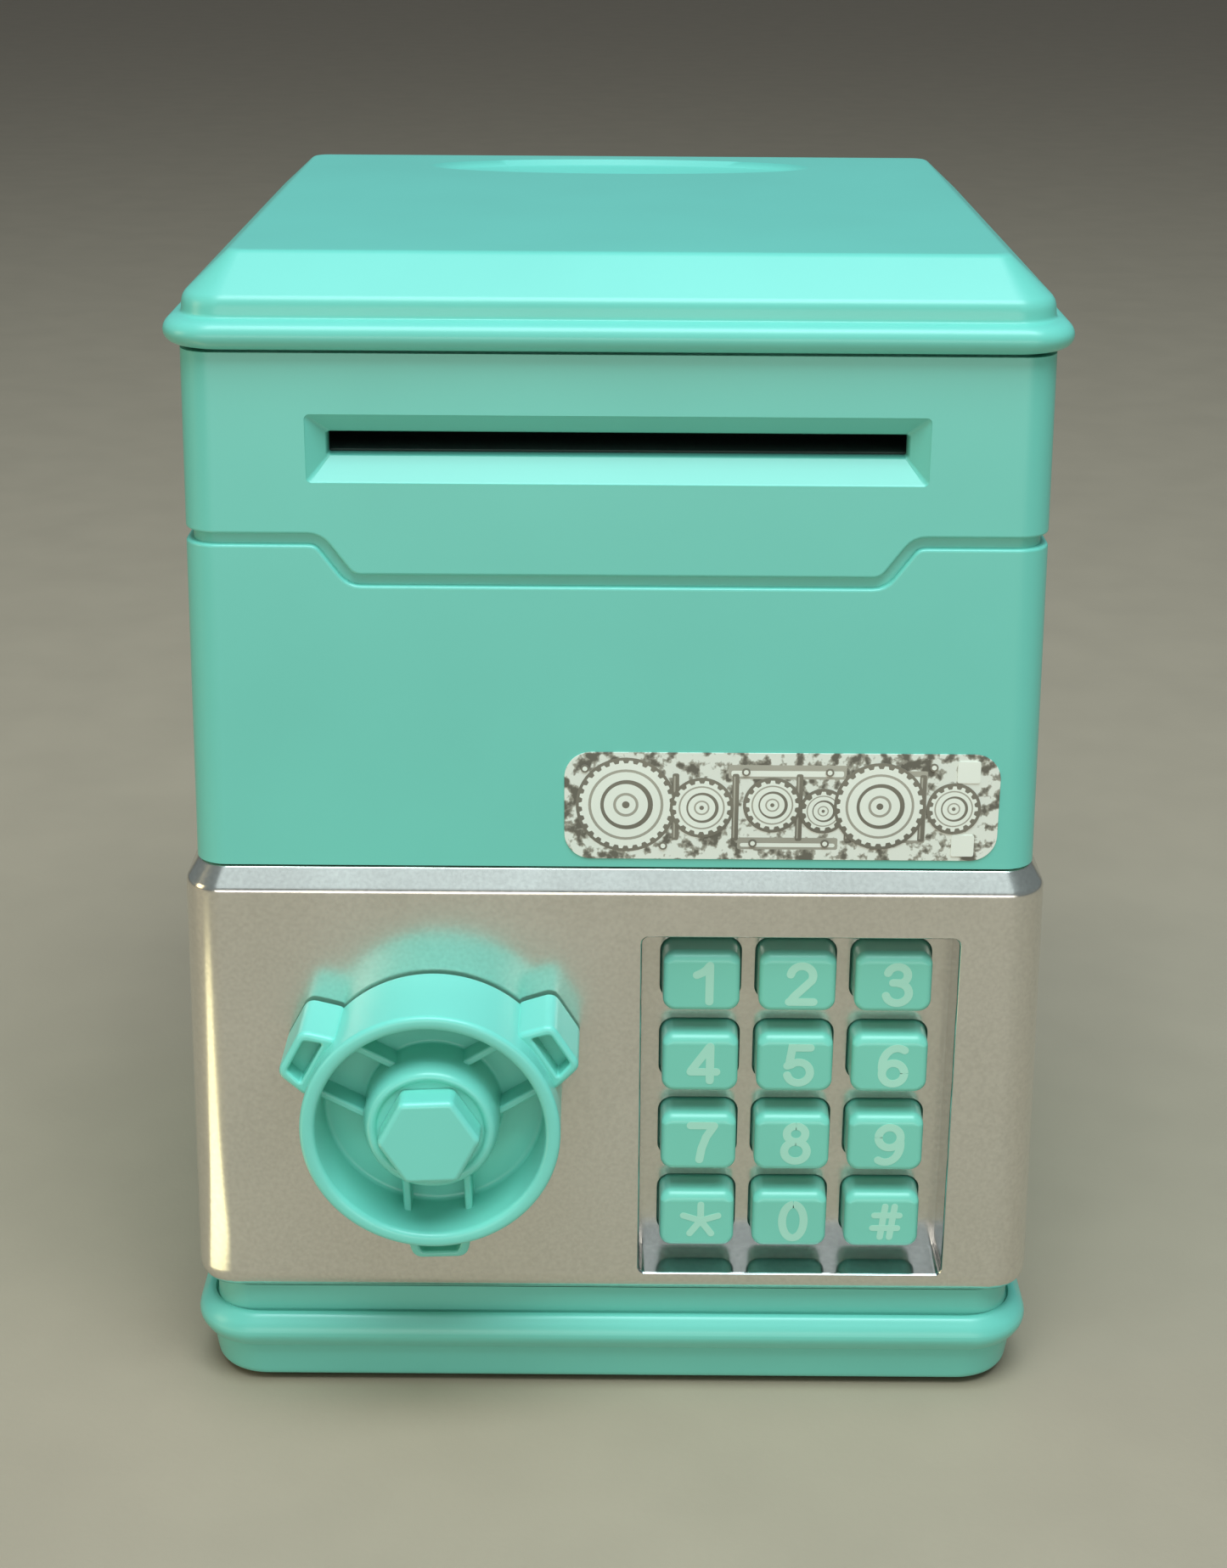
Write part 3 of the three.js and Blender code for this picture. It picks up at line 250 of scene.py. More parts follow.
def bow(cx, cy, rx, ry, start, end, steps):
    """Points of an elliptical arc, angles in degrees."""
    points = []
    for step in range(steps + 1):
        angle = math.radians(start + (end - start) * step / steps)
        points.append((cx + rx * math.cos(angle), cy + ry * math.sin(angle)))
    return points


def rounded_rectangle(half_x, half_y, corner, steps=CORNER_STEPS):
    """A counterclockwise outline about the origin."""
    points = []
    for quarter in range(4):
        centre_x = (half_x - corner) * (1 if quarter in (0, 3) else -1)
        centre_y = (half_y - corner) * (1 if quarter < 2 else -1)
        for step in range(steps + 1):
            angle = (quarter + step / steps) * math.pi / 2
            points.append((centre_x + corner * math.cos(angle), centre_y + corner * math.sin(angle)))
    return points


def mitre(back, ahead, least):
    """The way to the left of a line at a corner, longer at a sharp one. least keeps it from a spike."""
    normal = Vector((-back.y - ahead.y, back.x + ahead.x))
    return normal / max(normal.length_squared / 2, least)


def inset_outline(points, distance):
    """A counterclockwise outline with each side moved inwards by distance."""
    inner = []
    count = len(points)
    for i in range(count):
        here = Vector(points[i])
        back = (here - Vector(points[i - 1])).normalized()
        ahead = (Vector(points[(i + 1) % count]) - here).normalized()
        inner.append(tuple(here + mitre(back, ahead, 0.4) * distance))
    return inner


# ---------------------------------------- meshes

SHARP = math.radians(38)
FLAT_FACE_WEIGHT = 80
SAME_AREA = 1e-6  # in square metres: faces nearer than this in size weigh the same


def mesh_object(name, bm):
    mesh = bpy.data.meshes.new(name)
    bm.normal_update()
    bm.to_mesh(mesh)
    bm.free()
    obj = bpy.data.objects.new(name, mesh)
    bpy.context.scene.collection.objects.link(obj)
    return obj


def bridge(bm, lower, upper):
    """Quads between two closed rings of the same length."""
    count = len(lower)
    for i in range(count):
        j = (i + 1) % count
        bm.faces.new((lower[i], lower[j], upper[j], upper[i]))


def ring_mesh(name, rings, closed=False):
    """A solid through rings of 3-D points. Its ends are capped, or joined to each other if closed."""
    bm = bmesh.new()
    loops = [[bm.verts.new(point) for point in ring] for ring in rings]
    for lower, upper in zip(loops, loops[1:]):
        bridge(bm, lower, upper)
    if closed:
        bridge(bm, loops[-1], loops[0])
    else:
        bm.faces.new(list(reversed(loops[0])))
        bm.faces.new(loops[-1])
    return mesh_object(name, bm)


def plan_loft(name, sections):
    """A loft along z through (z, half_x, corner) sections of the case's plan."""
    rings = []
    for z, half, corner in sections:
        outline = rounded_rectangle(half, half - DEPTH_LESS, corner)
        rings.append([(x, y, z) for x, y in outline])
    return ring_mesh(name, rings)


def stacked(name, outline, levels):
    """A solid of one outline at (height, inset) levels along +z."""
    rings = []
    for height, inset in levels:
        rings.append([(x, y, height) for x, y in inset_outline(outline, inset)])
    return ring_mesh(name, rings)


def pillow(name, outline, low, high, rounding, steps):
    """An outline pushed from low to high, with a rounded edge at the high end."""
    levels = [(low, 0.0)]
    for step in range(steps + 1):
        angle = step / steps * math.pi / 2
        height = high - rounding * (1 - math.sin(angle))
        levels.append((height, rounding * (1 - math.cos(angle))))
    return stacked(name, outline, levels)


def flared(name, outline, low, surface, rounding):
    """A cutter from low to above a surface, that leaves a rounded rim in that surface."""
    steps, short_of_flat = 4, 0.35
    levels = [(low, 0.0)]
    for step in range(steps + 1):
        angle = step / (steps + short_of_flat) * math.pi / 2
        height = surface - rounding * (1 - math.sin(angle))
        levels.append((height, -rounding * (1 - math.cos(angle))))
    levels.append((surface + 1.0, levels[-1][1] - rounding))
    return stacked(name, outline, levels)


def turned(name, profile, segments):
    """A solid of revolution about +z from (radius, height) points that start and end on the axis."""
    bm = bmesh.new()
    rings = []
    for radius, height in profile[1:-1]:
        ring = []
        for i in range(segments):
            angle = i / segments * 2 * math.pi
            ring.append(bm.verts.new((radius * math.cos(angle), radius * math.sin(angle), height)))
        rings.append(ring)
    for lower, upper in zip(rings, rings[1:]):
        bridge(bm, lower, upper)
    first = bm.verts.new((0, 0, profile[0][1]))
    last = bm.verts.new((0, 0, profile[-1][1]))
    for i in range(segments):
        j = (i + 1) % segments
        bm.faces.new((first, rings[0][j], rings[0][i]))
        bm.faces.new((last, rings[-1][i], rings[-1][j]))
    return mesh_object(name, bm)


def box(x0, x1, y0, y1, z0, z1):
    bm = bmesh.new()
    bmesh.ops.create_cube(bm, size=1.0)
    size = Matrix.Diagonal((x1 - x0, y1 - y0, z1 - z0, 1))
    centre = Vector((x0 + x1, y0 + y1, z0 + z1)) / 2
    bm.transform(Matrix.Translation(centre) @ size)
    return mesh_object("box", bm)


def rod(radius, low, high, x=0.0, y=0.0, segments=48):
    obj = turned("rod", [(0, low), (radius, low), (radius, high), (0, high)], segments)
    return moved(obj, x, y, 0)


def moved(obj, x, y, z):
    obj.data.transform(Matrix.Translation((x, y, z)))
    return obj


def spun(obj, degrees):
    """Turned about its own +z axis."""
    obj.data.transform(Matrix.Rotation(math.radians(degrees), 4, "Z"))
    return obj


def facing_front(obj, x, y, z):
    """A shape whose outward direction is +z and up is +y is turned to face the front, -y."""
    obj.data.transform(Matrix.Translation((x, y, z)) @ Matrix.Rotation(math.pi / 2, 4, "X"))
    return obj


def leaning(obj, z):
    """Tilted back with the draft of the case front, about the level z of that front."""
    pivot = Vector((0, wall_front(z), z))
    turn = Matrix.Rotation(-math.atan(DRAFT), 4, "X")
    obj.data.transform(Matrix.Translation(pivot) @ turn @ Matrix.Translation(-pivot))
    return obj


def apply_modifiers(obj):
    graph = bpy.context.evaluated_depsgraph_get()
    result = bpy.data.meshes.new_from_object(obj.evaluated_get(graph))
    obj.modifiers.clear()
    obj.data = result


def combine(target, operation, tools):
    """Exact booleans, one tool after another. The tools are used up."""
    for tool in tools:
        modifier = target.modifiers.new("combine", "BOOLEAN")
        modifier.operation = operation
        modifier.solver = "EXACT"
        modifier.object = tool
        apply_modifiers(target)
        if not target.data.polygons:
            raise RuntimeError(f"the boolean of {target.name} and {tool.name} is empty")
        bpy.data.objects.remove(tool)
    return target


def cut(target, *tools):
    return combine(target, "DIFFERENCE", tools)


def join(target, *tools):
    return combine(target, "UNION", tools)


def common(target, *tools):
    return combine(target, "INTERSECT", tools)


def bevel_edges(obj, sharp, width):
    """A bevel modifier on the edges sharper than an angle."""
    modifier = obj.modifiers.new("edge", "BEVEL")
    modifier.limit_method = "ANGLE"
    modifier.angle_limit = sharp
    modifier.width = width
    modifier.segments = 2


def smooth(obj, bevel=0.0):
    """Smooth shading that keeps flat faces flat, after an optional small bevel of sharp edges."""
    if bevel:
        bevel_edges(obj, SHARP, bevel)
        apply_modifiers(obj)
    for polygon in obj.data.polygons:
        polygon.use_smooth = True
    obj.data.set_sharp_from_angle(angle=SHARP)
    weighted = obj.modifiers.new("flat faces", "WEIGHTED_NORMAL")
    weighted.keep_sharp = True
    weighted.weight = FLAT_FACE_WEIGHT
    weighted.thresh = SAME_AREA
    return obj


def place(obj, name, body, material, replaces=()):
    """Moves a finished shape into the row frame and ties it to its CAD body."""
    obj.name = name
    obj.data.name = name
    obj.data.transform(TO_ROW)
    obj.data.materials.clear()
    obj.data.materials.append(material)
    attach(obj, body)
    if replaces:
        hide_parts(*replaces)
    return obj


# ---------------------------------------- materials

NOISE_LOW, NOISE_HIGH = 0.3, 0.7
CLOUD_SCALE = 38
GLOSS_SCALE = 60


class Nodes:
    """A small helper around one material's node tree."""

    def __init__(self, name):
        self.material = bpy.data.materials.new(name)
        self.material.use_nodes = True
        self.tree = self.material.node_tree
        self.shader = self.tree.nodes["Principled BSDF"]
        self.place = self.add("ShaderNodeTexCoord").outputs["Object"]

    def add(self, kind):
        return self.tree.nodes.new(kind)

    def link(self, source, target):
        self.tree.links.new(source, target)

    def feed(self, source, socket):
        """Drives one of the shader's inputs."""
        self.link(source, self.shader.inputs[socket])

    def noise(self, scale, detail):
        node = self.add("ShaderNodeTexNoise")
        node.inputs["Scale"].default_value = scale
        node.inputs["Detail"].default_value = detail
        self.link(self.place, node.inputs["Vector"])
        return node.outputs["Fac"]

    def ramp(self, source, stops):
        node = self.add("ShaderNodeValToRGB")
        elements = node.color_ramp.elements
        while len(elements) < len(stops):
            elements.new(0.5)
        for element, (position, colour) in zip(elements, stops):
            element.position = position
            element.color = (*colour, 1.0)
        self.link(source, node.inputs["Fac"])
        return node.outputs["Color"]

    def spread(self, source, low, high):
        """A noise stretched smoothly over low to high."""
        node = self.add("ShaderNodeMapRange")
        node.interpolation_type = "SMOOTHSTEP"
        node.inputs["From Min"].default_value = NOISE_LOW
        node.inputs["From Max"].default_value = NOISE_HIGH
        node.inputs["To Min"].default_value = low
        node.inputs["To Max"].default_value = high
        self.link(source, node.inputs["Value"])
        return node.outputs["Result"]

    def bump(self, source, depth):
        """A grain whose depth is in millimetres."""
        node = self.add("ShaderNodeBump")
        node.inputs["Strength"].default_value = 1.0
        node.inputs["Distance"].default_value = depth * MM
        self.link(source, node.inputs["Height"])
        self.feed(node.outputs["Normal"], "Normal")

    def set(self, socket, value):
        self.shader.inputs[socket].default_value = value


def tones(colour, variation):
    """Ramp stops from a little darker to a little lighter than a colour."""
    darker = tuple(channel * (1 - variation) for channel in colour)
    lighter = tuple(min(1.0, channel * (1 + variation)) for channel in colour)
    return (NOISE_LOW, darker), (NOISE_HIGH, lighter)


def moulded(name, colour, roughness, grain=220, depth=0.02, variation=0.05):
    """Injection-moulded plastic or rubber: slightly clouded colour and a fine moulded grain."""
    nodes = Nodes(name)
    nodes.feed(nodes.ramp(nodes.noise(CLOUD_SCALE, 2), tones(colour, variation)), "Base Color")
    nodes.bump(nodes.noise(grain, 3), depth)
    nodes.set("Roughness", roughness)
    return nodes.material


def metal(name, colour, roughness, grain, depth, metallic=1.0):
    """Metal or metallic paint: flakes in its colour and surface, slow changes in its gloss."""
    nodes = Nodes(name)
    flakes = nodes.noise(grain, 2)
    nodes.feed(nodes.ramp(flakes, tones(colour, 0.06)), "Base Color")
    gloss = nodes.spread(nodes.noise(GLOSS_SCALE, 2), roughness - 0.03, roughness + 0.03)
    nodes.feed(gloss, "Roughness")
    nodes.bump(flakes, depth)
    nodes.set("Metallic", metallic)
    return nodes.material


def mottled(name, stops, scale):
    """A printed pattern of small patches."""
    nodes = Nodes(name)
    nodes.feed(nodes.ramp(nodes.noise(scale, 3), stops), "Base Color")
    nodes.feed(nodes.spread(nodes.noise(GLOSS_SCALE, 2), 0.38, 0.46), "Roughness")
    return nodes.material


TEAL = moulded("teal plastic", (0.165, 0.565, 0.455), 0.3, grain=420, depth=0.004, variation=0.02)
# The knob is the case's teal made about a fifth lighter. This is painted light, standing in for the
# extra light its upward faces catch from above and off the silver door.
KNOB_TEAL_PAINTED_LIGHTER = moulded("knob plastic painted lighter", (0.205, 0.67, 0.55), 0.28, grain=420, depth=0.003, variation=0.02)
KEY_TEAL = moulded("key plastic", (0.20, 0.60, 0.46), 0.3, grain=420, depth=0.004, variation=0.03)
SYMBOL_INK = moulded("symbol ink", (0.4, 0.72, 0.56), 0.45, grain=900, depth=0.006, variation=0.05)
SILVER = metal("silver paint", (0.73, 0.70, 0.64), 0.2, 1500, 0.004, metallic=0.92)
BRIGHT_SILVER = metal("bright silver", (0.60, 0.60, 0.60), 0.12, 900, 0.001)
GREY = moulded("grey plastic", (0.06, 0.10, 0.085), 0.55)
RUBBER = moulded("black rubber", (0.03, 0.031, 0.032), 0.8, grain=500, depth=0.03)
MAT_RUBBER = moulded("silicone", (0.56, 0.6, 0.56), 0.7)
STEEL = metal("plated steel", (0.55, 0.56, 0.56), 0.28, 900, 0.004)
BOARD = moulded("circuit board", (0.035, 0.15, 0.06), 0.45, grain=300, depth=0.02, variation=0.2)
FILM = {"roughness": 0.42, "grain": 800, "depth": 0.006}
CARD = moulded("label film", (0.84, 0.83, 0.72), variation=0.06, **FILM)
PRINT_DARK = moulded("label print dark", (0.20, 0.175, 0.13), variation=0.3, **FILM)
PRINT_MID = moulded("label print mid", (0.40, 0.365, 0.29), variation=0.2, **FILM)
LABEL_TONES = ((0.38, (0.13, 0.115, 0.085)), (0.46, (0.36, 0.33, 0.26)), (0.52, (0.78, 0.77, 0.67)))
LABEL_GROUND = mottled("label ground", LABEL_TONES, 620)
FLOOR = moulded("floor", (0.45, 0.33, 0.235), 0.6, grain=700, depth=0.05, variation=0.03)
CELL_WRAP = moulded("cell sleeve", (0.045, 0.05, 0.06), 0.35)
NYLON = moulded("nylon", (0.78, 0.77, 0.71), 0.5)


# ---------------------------------------- lid


def lid():
    outer = bow(LID_BEAD_HALF, LID_BEAD_Z, LID_BEAD_RADIUS, LID_BEAD_RADIUS, -80, 84, 10)
    bead = [(z, half, 7.0) for half, z in outer]
    inside = [(174.4, 52.6, 2.0), (171.8, LID_INNER_HALF, 3.0), (LID_BOTTOM, LID_INNER_HALF, 3.0)]
    spigot = [(LID_BOTTOM, SPIGOT_HALF, 2.8), (166.35, SPIGOT_HALF, 3.4)]
    top = soften(
        [bead[-1], (170.6, 61.8, 6.4), (173.0, 61.63, 6.4), (178.95, 55.05, 2.0), (LID_TOP, 50.0, 1.5)],
        (0, 0.5, 1.1, 0.8, 0),
        5,
    )
    shell = plan_loft("lid", inside + spigot + bead[:-1] + top)
    bowl = soften([(0, -2.6), (0.55, -2.15), (0.9, -1.05), (1.05, 0.4), (0, 1)], 0.2)
    dish = turned("dish", bowl, 96)
    stretch = Matrix.Diagonal((DISH_HALF_X, DISH_HALF_Y, 1, 1))
    dish.data.transform(Matrix.Translation((0, DISH_Y, LID_TOP)) @ stretch)
    outline = rounded_rectangle(COIN_SLOT_HALF_X, COIN_SLOT_HALF_Y, 1.2, 6)
    slot = moved(flared("slot", outline, 167.0, LID_TOP - 2.4, 0.5), 0, COIN_SLOT_Y, 0)
    return smooth(cut(shell, dish, slot))


place(lid(), "lid_shell", "case", TEAL, ["top_lid"])


# ---------------------------------------- housings

SEAM_CORNERS = (
    (-50.0, SEAM_SIDE),
    (-42.9, SEAM_SIDE),
    (-38.4, SEAM_MIDDLE),
    (38.4, SEAM_MIDDLE),
    (42.9, SEAM_SIDE),
    (50.0, SEAM_SIDE),
)
SEAM_LINE = soften(SEAM_CORNERS, 1.5)
MOST_SQUARE = 1.4


def seam_point(index, offset):
    """(x, z) of the seam line moved up by offset, square to the line as far as its corners allow."""
    here = Vector(SEAM_LINE[index])
    before = Vector(SEAM_LINE[max(index - 1, 0)])
    after = Vector(SEAM_LINE[min(index + 1, len(SEAM_LINE) - 1)])
    along = (after - before).normalized()
    square = max(-MOST_SQUARE, min(MOST_SQUARE, offset))
    moved_point = here + Vector((-along.y, along.x)) * square
    return moved_point.x, moved_point.y + offset - square


def wall_ring(inset, level, on_seam):
    """A ring of the case wall: at a level, or at a distance above the seam line."""
    side_z = SEAM_SIDE + level if on_seam else level
    half = wall_half(side_z) - inset
    outline = rounded_rectangle(half, half - DEPTH_LESS, max(BODY_CORNER - inset, 1.0))
    ring = [(x, y, side_z) for x, y in outline]
    front = []
    for index, (x, _) in enumerate(SEAM_LINE):
        z = side_z
        if on_seam:
            x, z = seam_point(index, level)
        front.append((x, wall_front(z) + inset, z))
    third_corner = 3 * (CORNER_STEPS + 1)
    return ring[:third_corner] + front + ring[third_corner:]


def seam_edge(side):
    """The rounded outer edge of the groove, from the wall's face inwards. side is 1 above the seam."""
    rows = []
    for step in range(5):
        angle = step / 4 * math.pi / 2
        inset = SEAM_EDGE * (1 - math.cos(angle))
        rows.append((inset, side * (SEAM_GAP + SEAM_EDGE * (1 - math.sin(angle))), True))
    return rows


def upper_housing():
    outside = list(reversed(seam_edge(1))) + [(0.0, BODY_TOP, False)]
    inside = [
        (WALL, BODY_TOP, False),
        (WALL, TONGUE_RISE + TONGUE_GAP, True),
        (SEAM_DEPTH + 0.1, TONGUE_RISE + TONGUE_GAP, True),
        (SEAM_DEPTH + 0.1, SEAM_GAP, True),
    ]
    shell = ring_mesh("upper", [wall_ring(*row) for row in outside + inside], closed=True)
    front = wall_front((NOTE_LOW + NOTE_HIGH) / 2)
    half = NOTE_RIM_HALF + NOTE_BACKING
    low, high = NOTE_RIM_LOW - NOTE_BACKING, NOTE_RIM_HIGH + NOTE_BACKING
    shell = join(shell, box(-half, half, front + 1.2, front + 4.5, low, high))
    return smooth(cut(shell, note_bevel(), note_slot()))


def framed(half_x, low, high, corner):
    """A rounded rectangle in (x, z)."""
    middle = (low + high) / 2
    outline = rounded_rectangle(half_x, (high - low) / 2, corner, 5)
    return [(x, z + middle) for x, z in outline]


def front_cutter(name, levels, front_of):
    """A cutter through (outline, depth) levels, deepest first.

    depth is how far behind the leaning front the level lies: a number, or a function of z.
    """
    rings = []
    for outline, depth in levels:
        ring = []
        for x, z in outline:
            ring.append((x, front_of(z) + (depth(z) if callable(depth) else depth), z))
        rings.append(ring)
    return ring_mesh(name, rings)


def note_bevel():
    """The sloping surround of the note slot, with a slightly rounded rim."""
    bed = framed(NOTE_HALF, NOTE_LOW - 0.2, NOTE_HIGH + 0.2, 0.3)
    rim = framed(NOTE_RIM_HALF, NOTE_RIM_LOW, NOTE_RIM_HIGH, 0.8)
    levels = [
        (bed, 2.5),
        (inset_outline(rim, 0.25), 0.28),
        (inset_outline(rim, 0.05), 0.07),
        (rim, -0.03),
        (rim, -1.0),
    ]
    return front_cutter("note bevel", levels, wall_front)


def note_slot():
    """The slot through the wall, a little wider at its mouth."""
    slot = framed(NOTE_HALF, NOTE_LOW, NOTE_HIGH, 0.3)
    levels = [
        (slot, 9.0),
        (slot, 2.8),
        (inset_outline(slot, -0.3), 2.3),
        (inset_outline(slot, -0.4), 1.5),
    ]
    return front_cutter("note slot", levels, wall_front)


def main_housing():
    outside = [(0.0, DOOR_BOTTOM, False)] + seam_edge(-1)
    inside = [
        (SEAM_DEPTH, -SEAM_GAP, True),
        (SEAM_DEPTH, TONGUE_RISE, True),
        (WALL, TONGUE_RISE, True),
        (WALL, DOOR_BOTTOM, False),
    ]
    shell = ring_mesh("main", [wall_ring(*row) for row in outside + inside], closed=True)
    shell = cut(shell, box(-FAR, FAR, -FAR, BULKHEAD_FRONT, 0, SHELF_BOTTOM))
    shelf_top = SHELF_BOTTOM + WALL
    half = wall_half(SHELF_BOTTOM) - 1.2
    plan = rounded_rectangle(half, half - DEPTH_LESS, 4.0)
    shelf = stacked("shelf", plan, [(SHELF_BOTTOM + OVERLAP, 0), (shelf_top, 0)])
    shelf = cut(shelf, box(-FAR, FAR, BULKHEAD_REAR, FAR, 0, ABOVE))
    low, front = DOOR_BOTTOM + OVERLAP, BULKHEAD_FRONT + OVERLAP
    bulkhead = box(-BULKHEAD_HALF, BULKHEAD_HALF, front, BULKHEAD_REAR, low, shelf_top)
    opening = rounded_rectangle(DOORWAY_HALF_X, DOORWAY_HALF_Z, 1.5, 5)
    doorway = stacked("doorway", opening, [(-10, 0), (10, 0)])
    bulkhead = cut(bulkhead, facing_front(doorway, 0, BULKHEAD_FRONT, DOORWAY_Z))
    shell = join(shell, shelf, bulkhead)
    hinge_boss = rod(HINGE_BOSS, SHELF_BOTTOM + 0.5, SHELF_BOTTOM + 6.5)
    hinge_boss = common(hinge_boss, box(-4, 2, -4, 4, SHELF_BOTTOM, ABOVE))
    shell = join(shell, moved(hinge_boss, HINGE[0] - 2, HINGE[1], 0))
    for x, y in CASE_SCREW_PLACES:
        boss = rod(SCREW_BOSS, low, DOOR_BOTTOM + 14, x, y, 40)
        inner_x = x - math.copysign(9, x)
        room = box(min(x, inner_x) - 4, max(x, inner_x) + 4, y - 9, y + 9, 0, 40)
        shell = join(shell, common(boss, room))
    return smooth(shell, bevel=0.2)


place(upper_housing(), "upper_shell", "case", TEAL, ["upper_housing"])
place(main_housing(), "main_shell", "case", TEAL, ["main_housing"])


# ---------------------------------------- base

BELOW = -5
SPEAKER_X, SPEAKER_Y = -46, 6


def base():
    outside = soften(
        [
            (BASE_BOTTOM, 60.0, 6.0),
            (BASE_BOTTOM, 64.9, 8.6),
            (5.6, 65.8, 9.0),
            (5.7, 66.7, 9.6),
            (7.7, 67.8, 10.4),
            (9.6, 67.4, 10.3),
            (11.1, 66.2, 9.8),
            (BASE_LEDGE + OVERLAP, 65.7, 9.4),
            (BASE_LEDGE, 65.0, 8.6),
            (BASE_LEDGE - 0.9, 64.7, 7.0),
            (BASE_LEDGE - 0.8, BASE_NECK_HALF, 6.0),
            (BASE_TOP, BASE_NECK_HALF - 0.1, 6.0),
        ],
        (0, 1.5, 0.25, 0.7, 1.4, 1.0, 0.6, 0.3, 0.3, 0.1, 0.1, 0),
        5,
    )
    inside = [
        (BASE_TOP, BASE_INNER_HALF, 4.0),
        (10.0, BASE_INNER_HALF, 4.0),
        (BASE_BOTTOM + WALL, BASE_INNER_HALF - 0.5, 5.0),
    ]
    shell = plan_loft("base", outside + inside)
    shell = join(
        shell,
        well_block(WELL_HALF_X + WELL_WALL, WELL_HALF_Y + WELL_WALL, 2.0, -0.2, WELL_TOP),
        well_block(REBATE_HALF_X + REBATE_WALL, REBATE_HALF_Y + REBATE_WALL, 3.5, -0.7, 2.4),
        rod(3.2, 0.8, 7.8, 0, COVER_SCREW_Y),
    )
    shell = cut(
        shell,
        well_block(WELL_HALF_X, WELL_HALF_Y, 1.0, BELOW, WELL_TOP - 1.2),
        well_block(REBATE_HALF_X, REBATE_HALF_Y, 3.0, BELOW, 0.7),
        rod(1.3, BELOW, 6.8, 0, COVER_SCREW_Y),
    )
    for x, y in FOOT_PLACES:
        shell = join(shell, rod(FOOT_RADIUS + 1.6, -0.2, 2.0, x, y))
        shell = cut(shell, rod(FOOT_RADIUS + 0.25, BELOW, -0.2, x, y))
    for x, y in CASE_SCREW_PLACES:
        post = rod(SCREW_BOSS, -0.2, BASE_TOP - 0.02, x, y, 40)
        shell = join(shell, common(post, box(-62.5, 62.5, y - 9, y + 9, -2, 20)))
        shell = cut(shell, rod(1.7, BELOW, 16.5, x, y), rod(3.4, BELOW, 2.8, x, y))
    return smooth(cut(shell, speaker_slots()), bevel=0.2)


def well_block(half_x, half_y, corner, low, high):
    """One outline of the battery well between two heights."""
    outline = rounded_rectangle(half_x, half_y, corner, 4)
    return moved(stacked("well", outline, [(low, 0), (high, 0)]), 0, WELL_Y, 0)


def speaker_slots():
    slots = []
    for slot in range(-3, 4):
        length = 9 - abs(slot)
        x = SPEAKER_X + slot * 3
        slots.append(box(x - 0.6, x + 0.6, SPEAKER_Y - length, SPEAKER_Y + length, BELOW, 1.8))
    return together(slots)


def together(objects):
    """One object from several, whose surfaces stay separate."""
    bm = bmesh.new()
    for obj in objects:
        bm.from_mesh(obj.data)
        bpy.data.objects.remove(obj)
    return mesh_object("together", bm)


def rubber_foot(x, y):
    corners = [(0, 0), (FOOT_RADIUS - 0.6, 0), (FOOT_RADIUS, 0.6), (FOOT_RADIUS, 2.0), (0, 2.0)]
    profile = soften(corners, (0, 0.5, 0.5, 0.1, 0), 4)
    return smooth(moved(turned("foot", profile, 64), x, y, RESTING_LEVEL))


place(base(), "base_shell", "case", TEAL, ["base"])
FOOT_NAMES = ("front_left", "front_right", "rear_left", "rear_right")
for foot_name, (foot_x, foot_y) in zip(FOOT_NAMES, FOOT_PLACES):
    foot = rubber_foot(foot_x, foot_y)
    place(foot, "foot_" + foot_name, "case", RUBBER, ["rubber_foot_" + foot_name])


# ---------------------------------------- door


def key_places():
    for row, names in enumerate(KEY_ROWS):
        for column, name in enumerate(names):
            yield name, KEY_CENTRE_X + (column - 1) * KEY_PITCH_X, KEY_TOP_Z - row * KEY_PITCH_Z


def key_outline(grow=0.0):
    return rounded_rectangle(KEY_HALF_X + grow, KEY_HALF_Z + grow, KEY_CORNER + grow, 8)


def on_knob_axis(obj):
    """From the knob's own frame to its place on the front of the door."""
    return facing_front(obj, KNOB_X, door_front(KNOB_Z), KNOB_Z)


def door_block():
    """The outside of the door before it is cut off behind."""
    sections = soften(
        [
            (DOOR_BOTTOM, 60.0, 4.0),
            (DOOR_BOTTOM, door_half(DOOR_BOTTOM) - 1.7, 5.0),
            (DOOR_BOTTOM + 2.0, door_half(DOOR_BOTTOM + 2.0), DOOR_CORNER),
            (DOOR_BEVEL_FOOT, DOOR_TOP_HALF, DOOR_CORNER),
            (DOOR_TOP, DOOR_TOP_HALF - 2.0, DOOR_CORNER - 1),
            (DOOR_TOP, 60.0, 4.0),
        ],
        (0, 0.9, 1.7, 0.6, 0.35, 0),
    )
    return common(plan_loft("door", sections), box(-FAR, FAR, -FAR, DOOR_REAR, 0, ABOVE))


def pad_recess():
    """The keypad's recess, with an upright floor behind the leaning front and a rounded rim."""
    outline = framed((PAD_RIGHT - PAD_LEFT) / 2, PAD_LOW, PAD_HIGH, 1.1)
    middle = (PAD_LEFT + PAD_RIGHT) / 2
    outline = [(x + middle, z) for x, z in outline]

    def to_floor(z):
        return PAD_FLOOR_Y - door_front(z)

    levels = [
        (inset_outline(outline, 0.2), to_floor),
        (inset_outline(outline, 0.02), 0.35),
        (inset_outline(outline, -0.06), 0.14),
        (inset_outline(outline, -0.22), 0.02),
        (inset_outline(outline, -0.5), -0.6),
    ]
    return front_cutter("recess", levels, door_front)


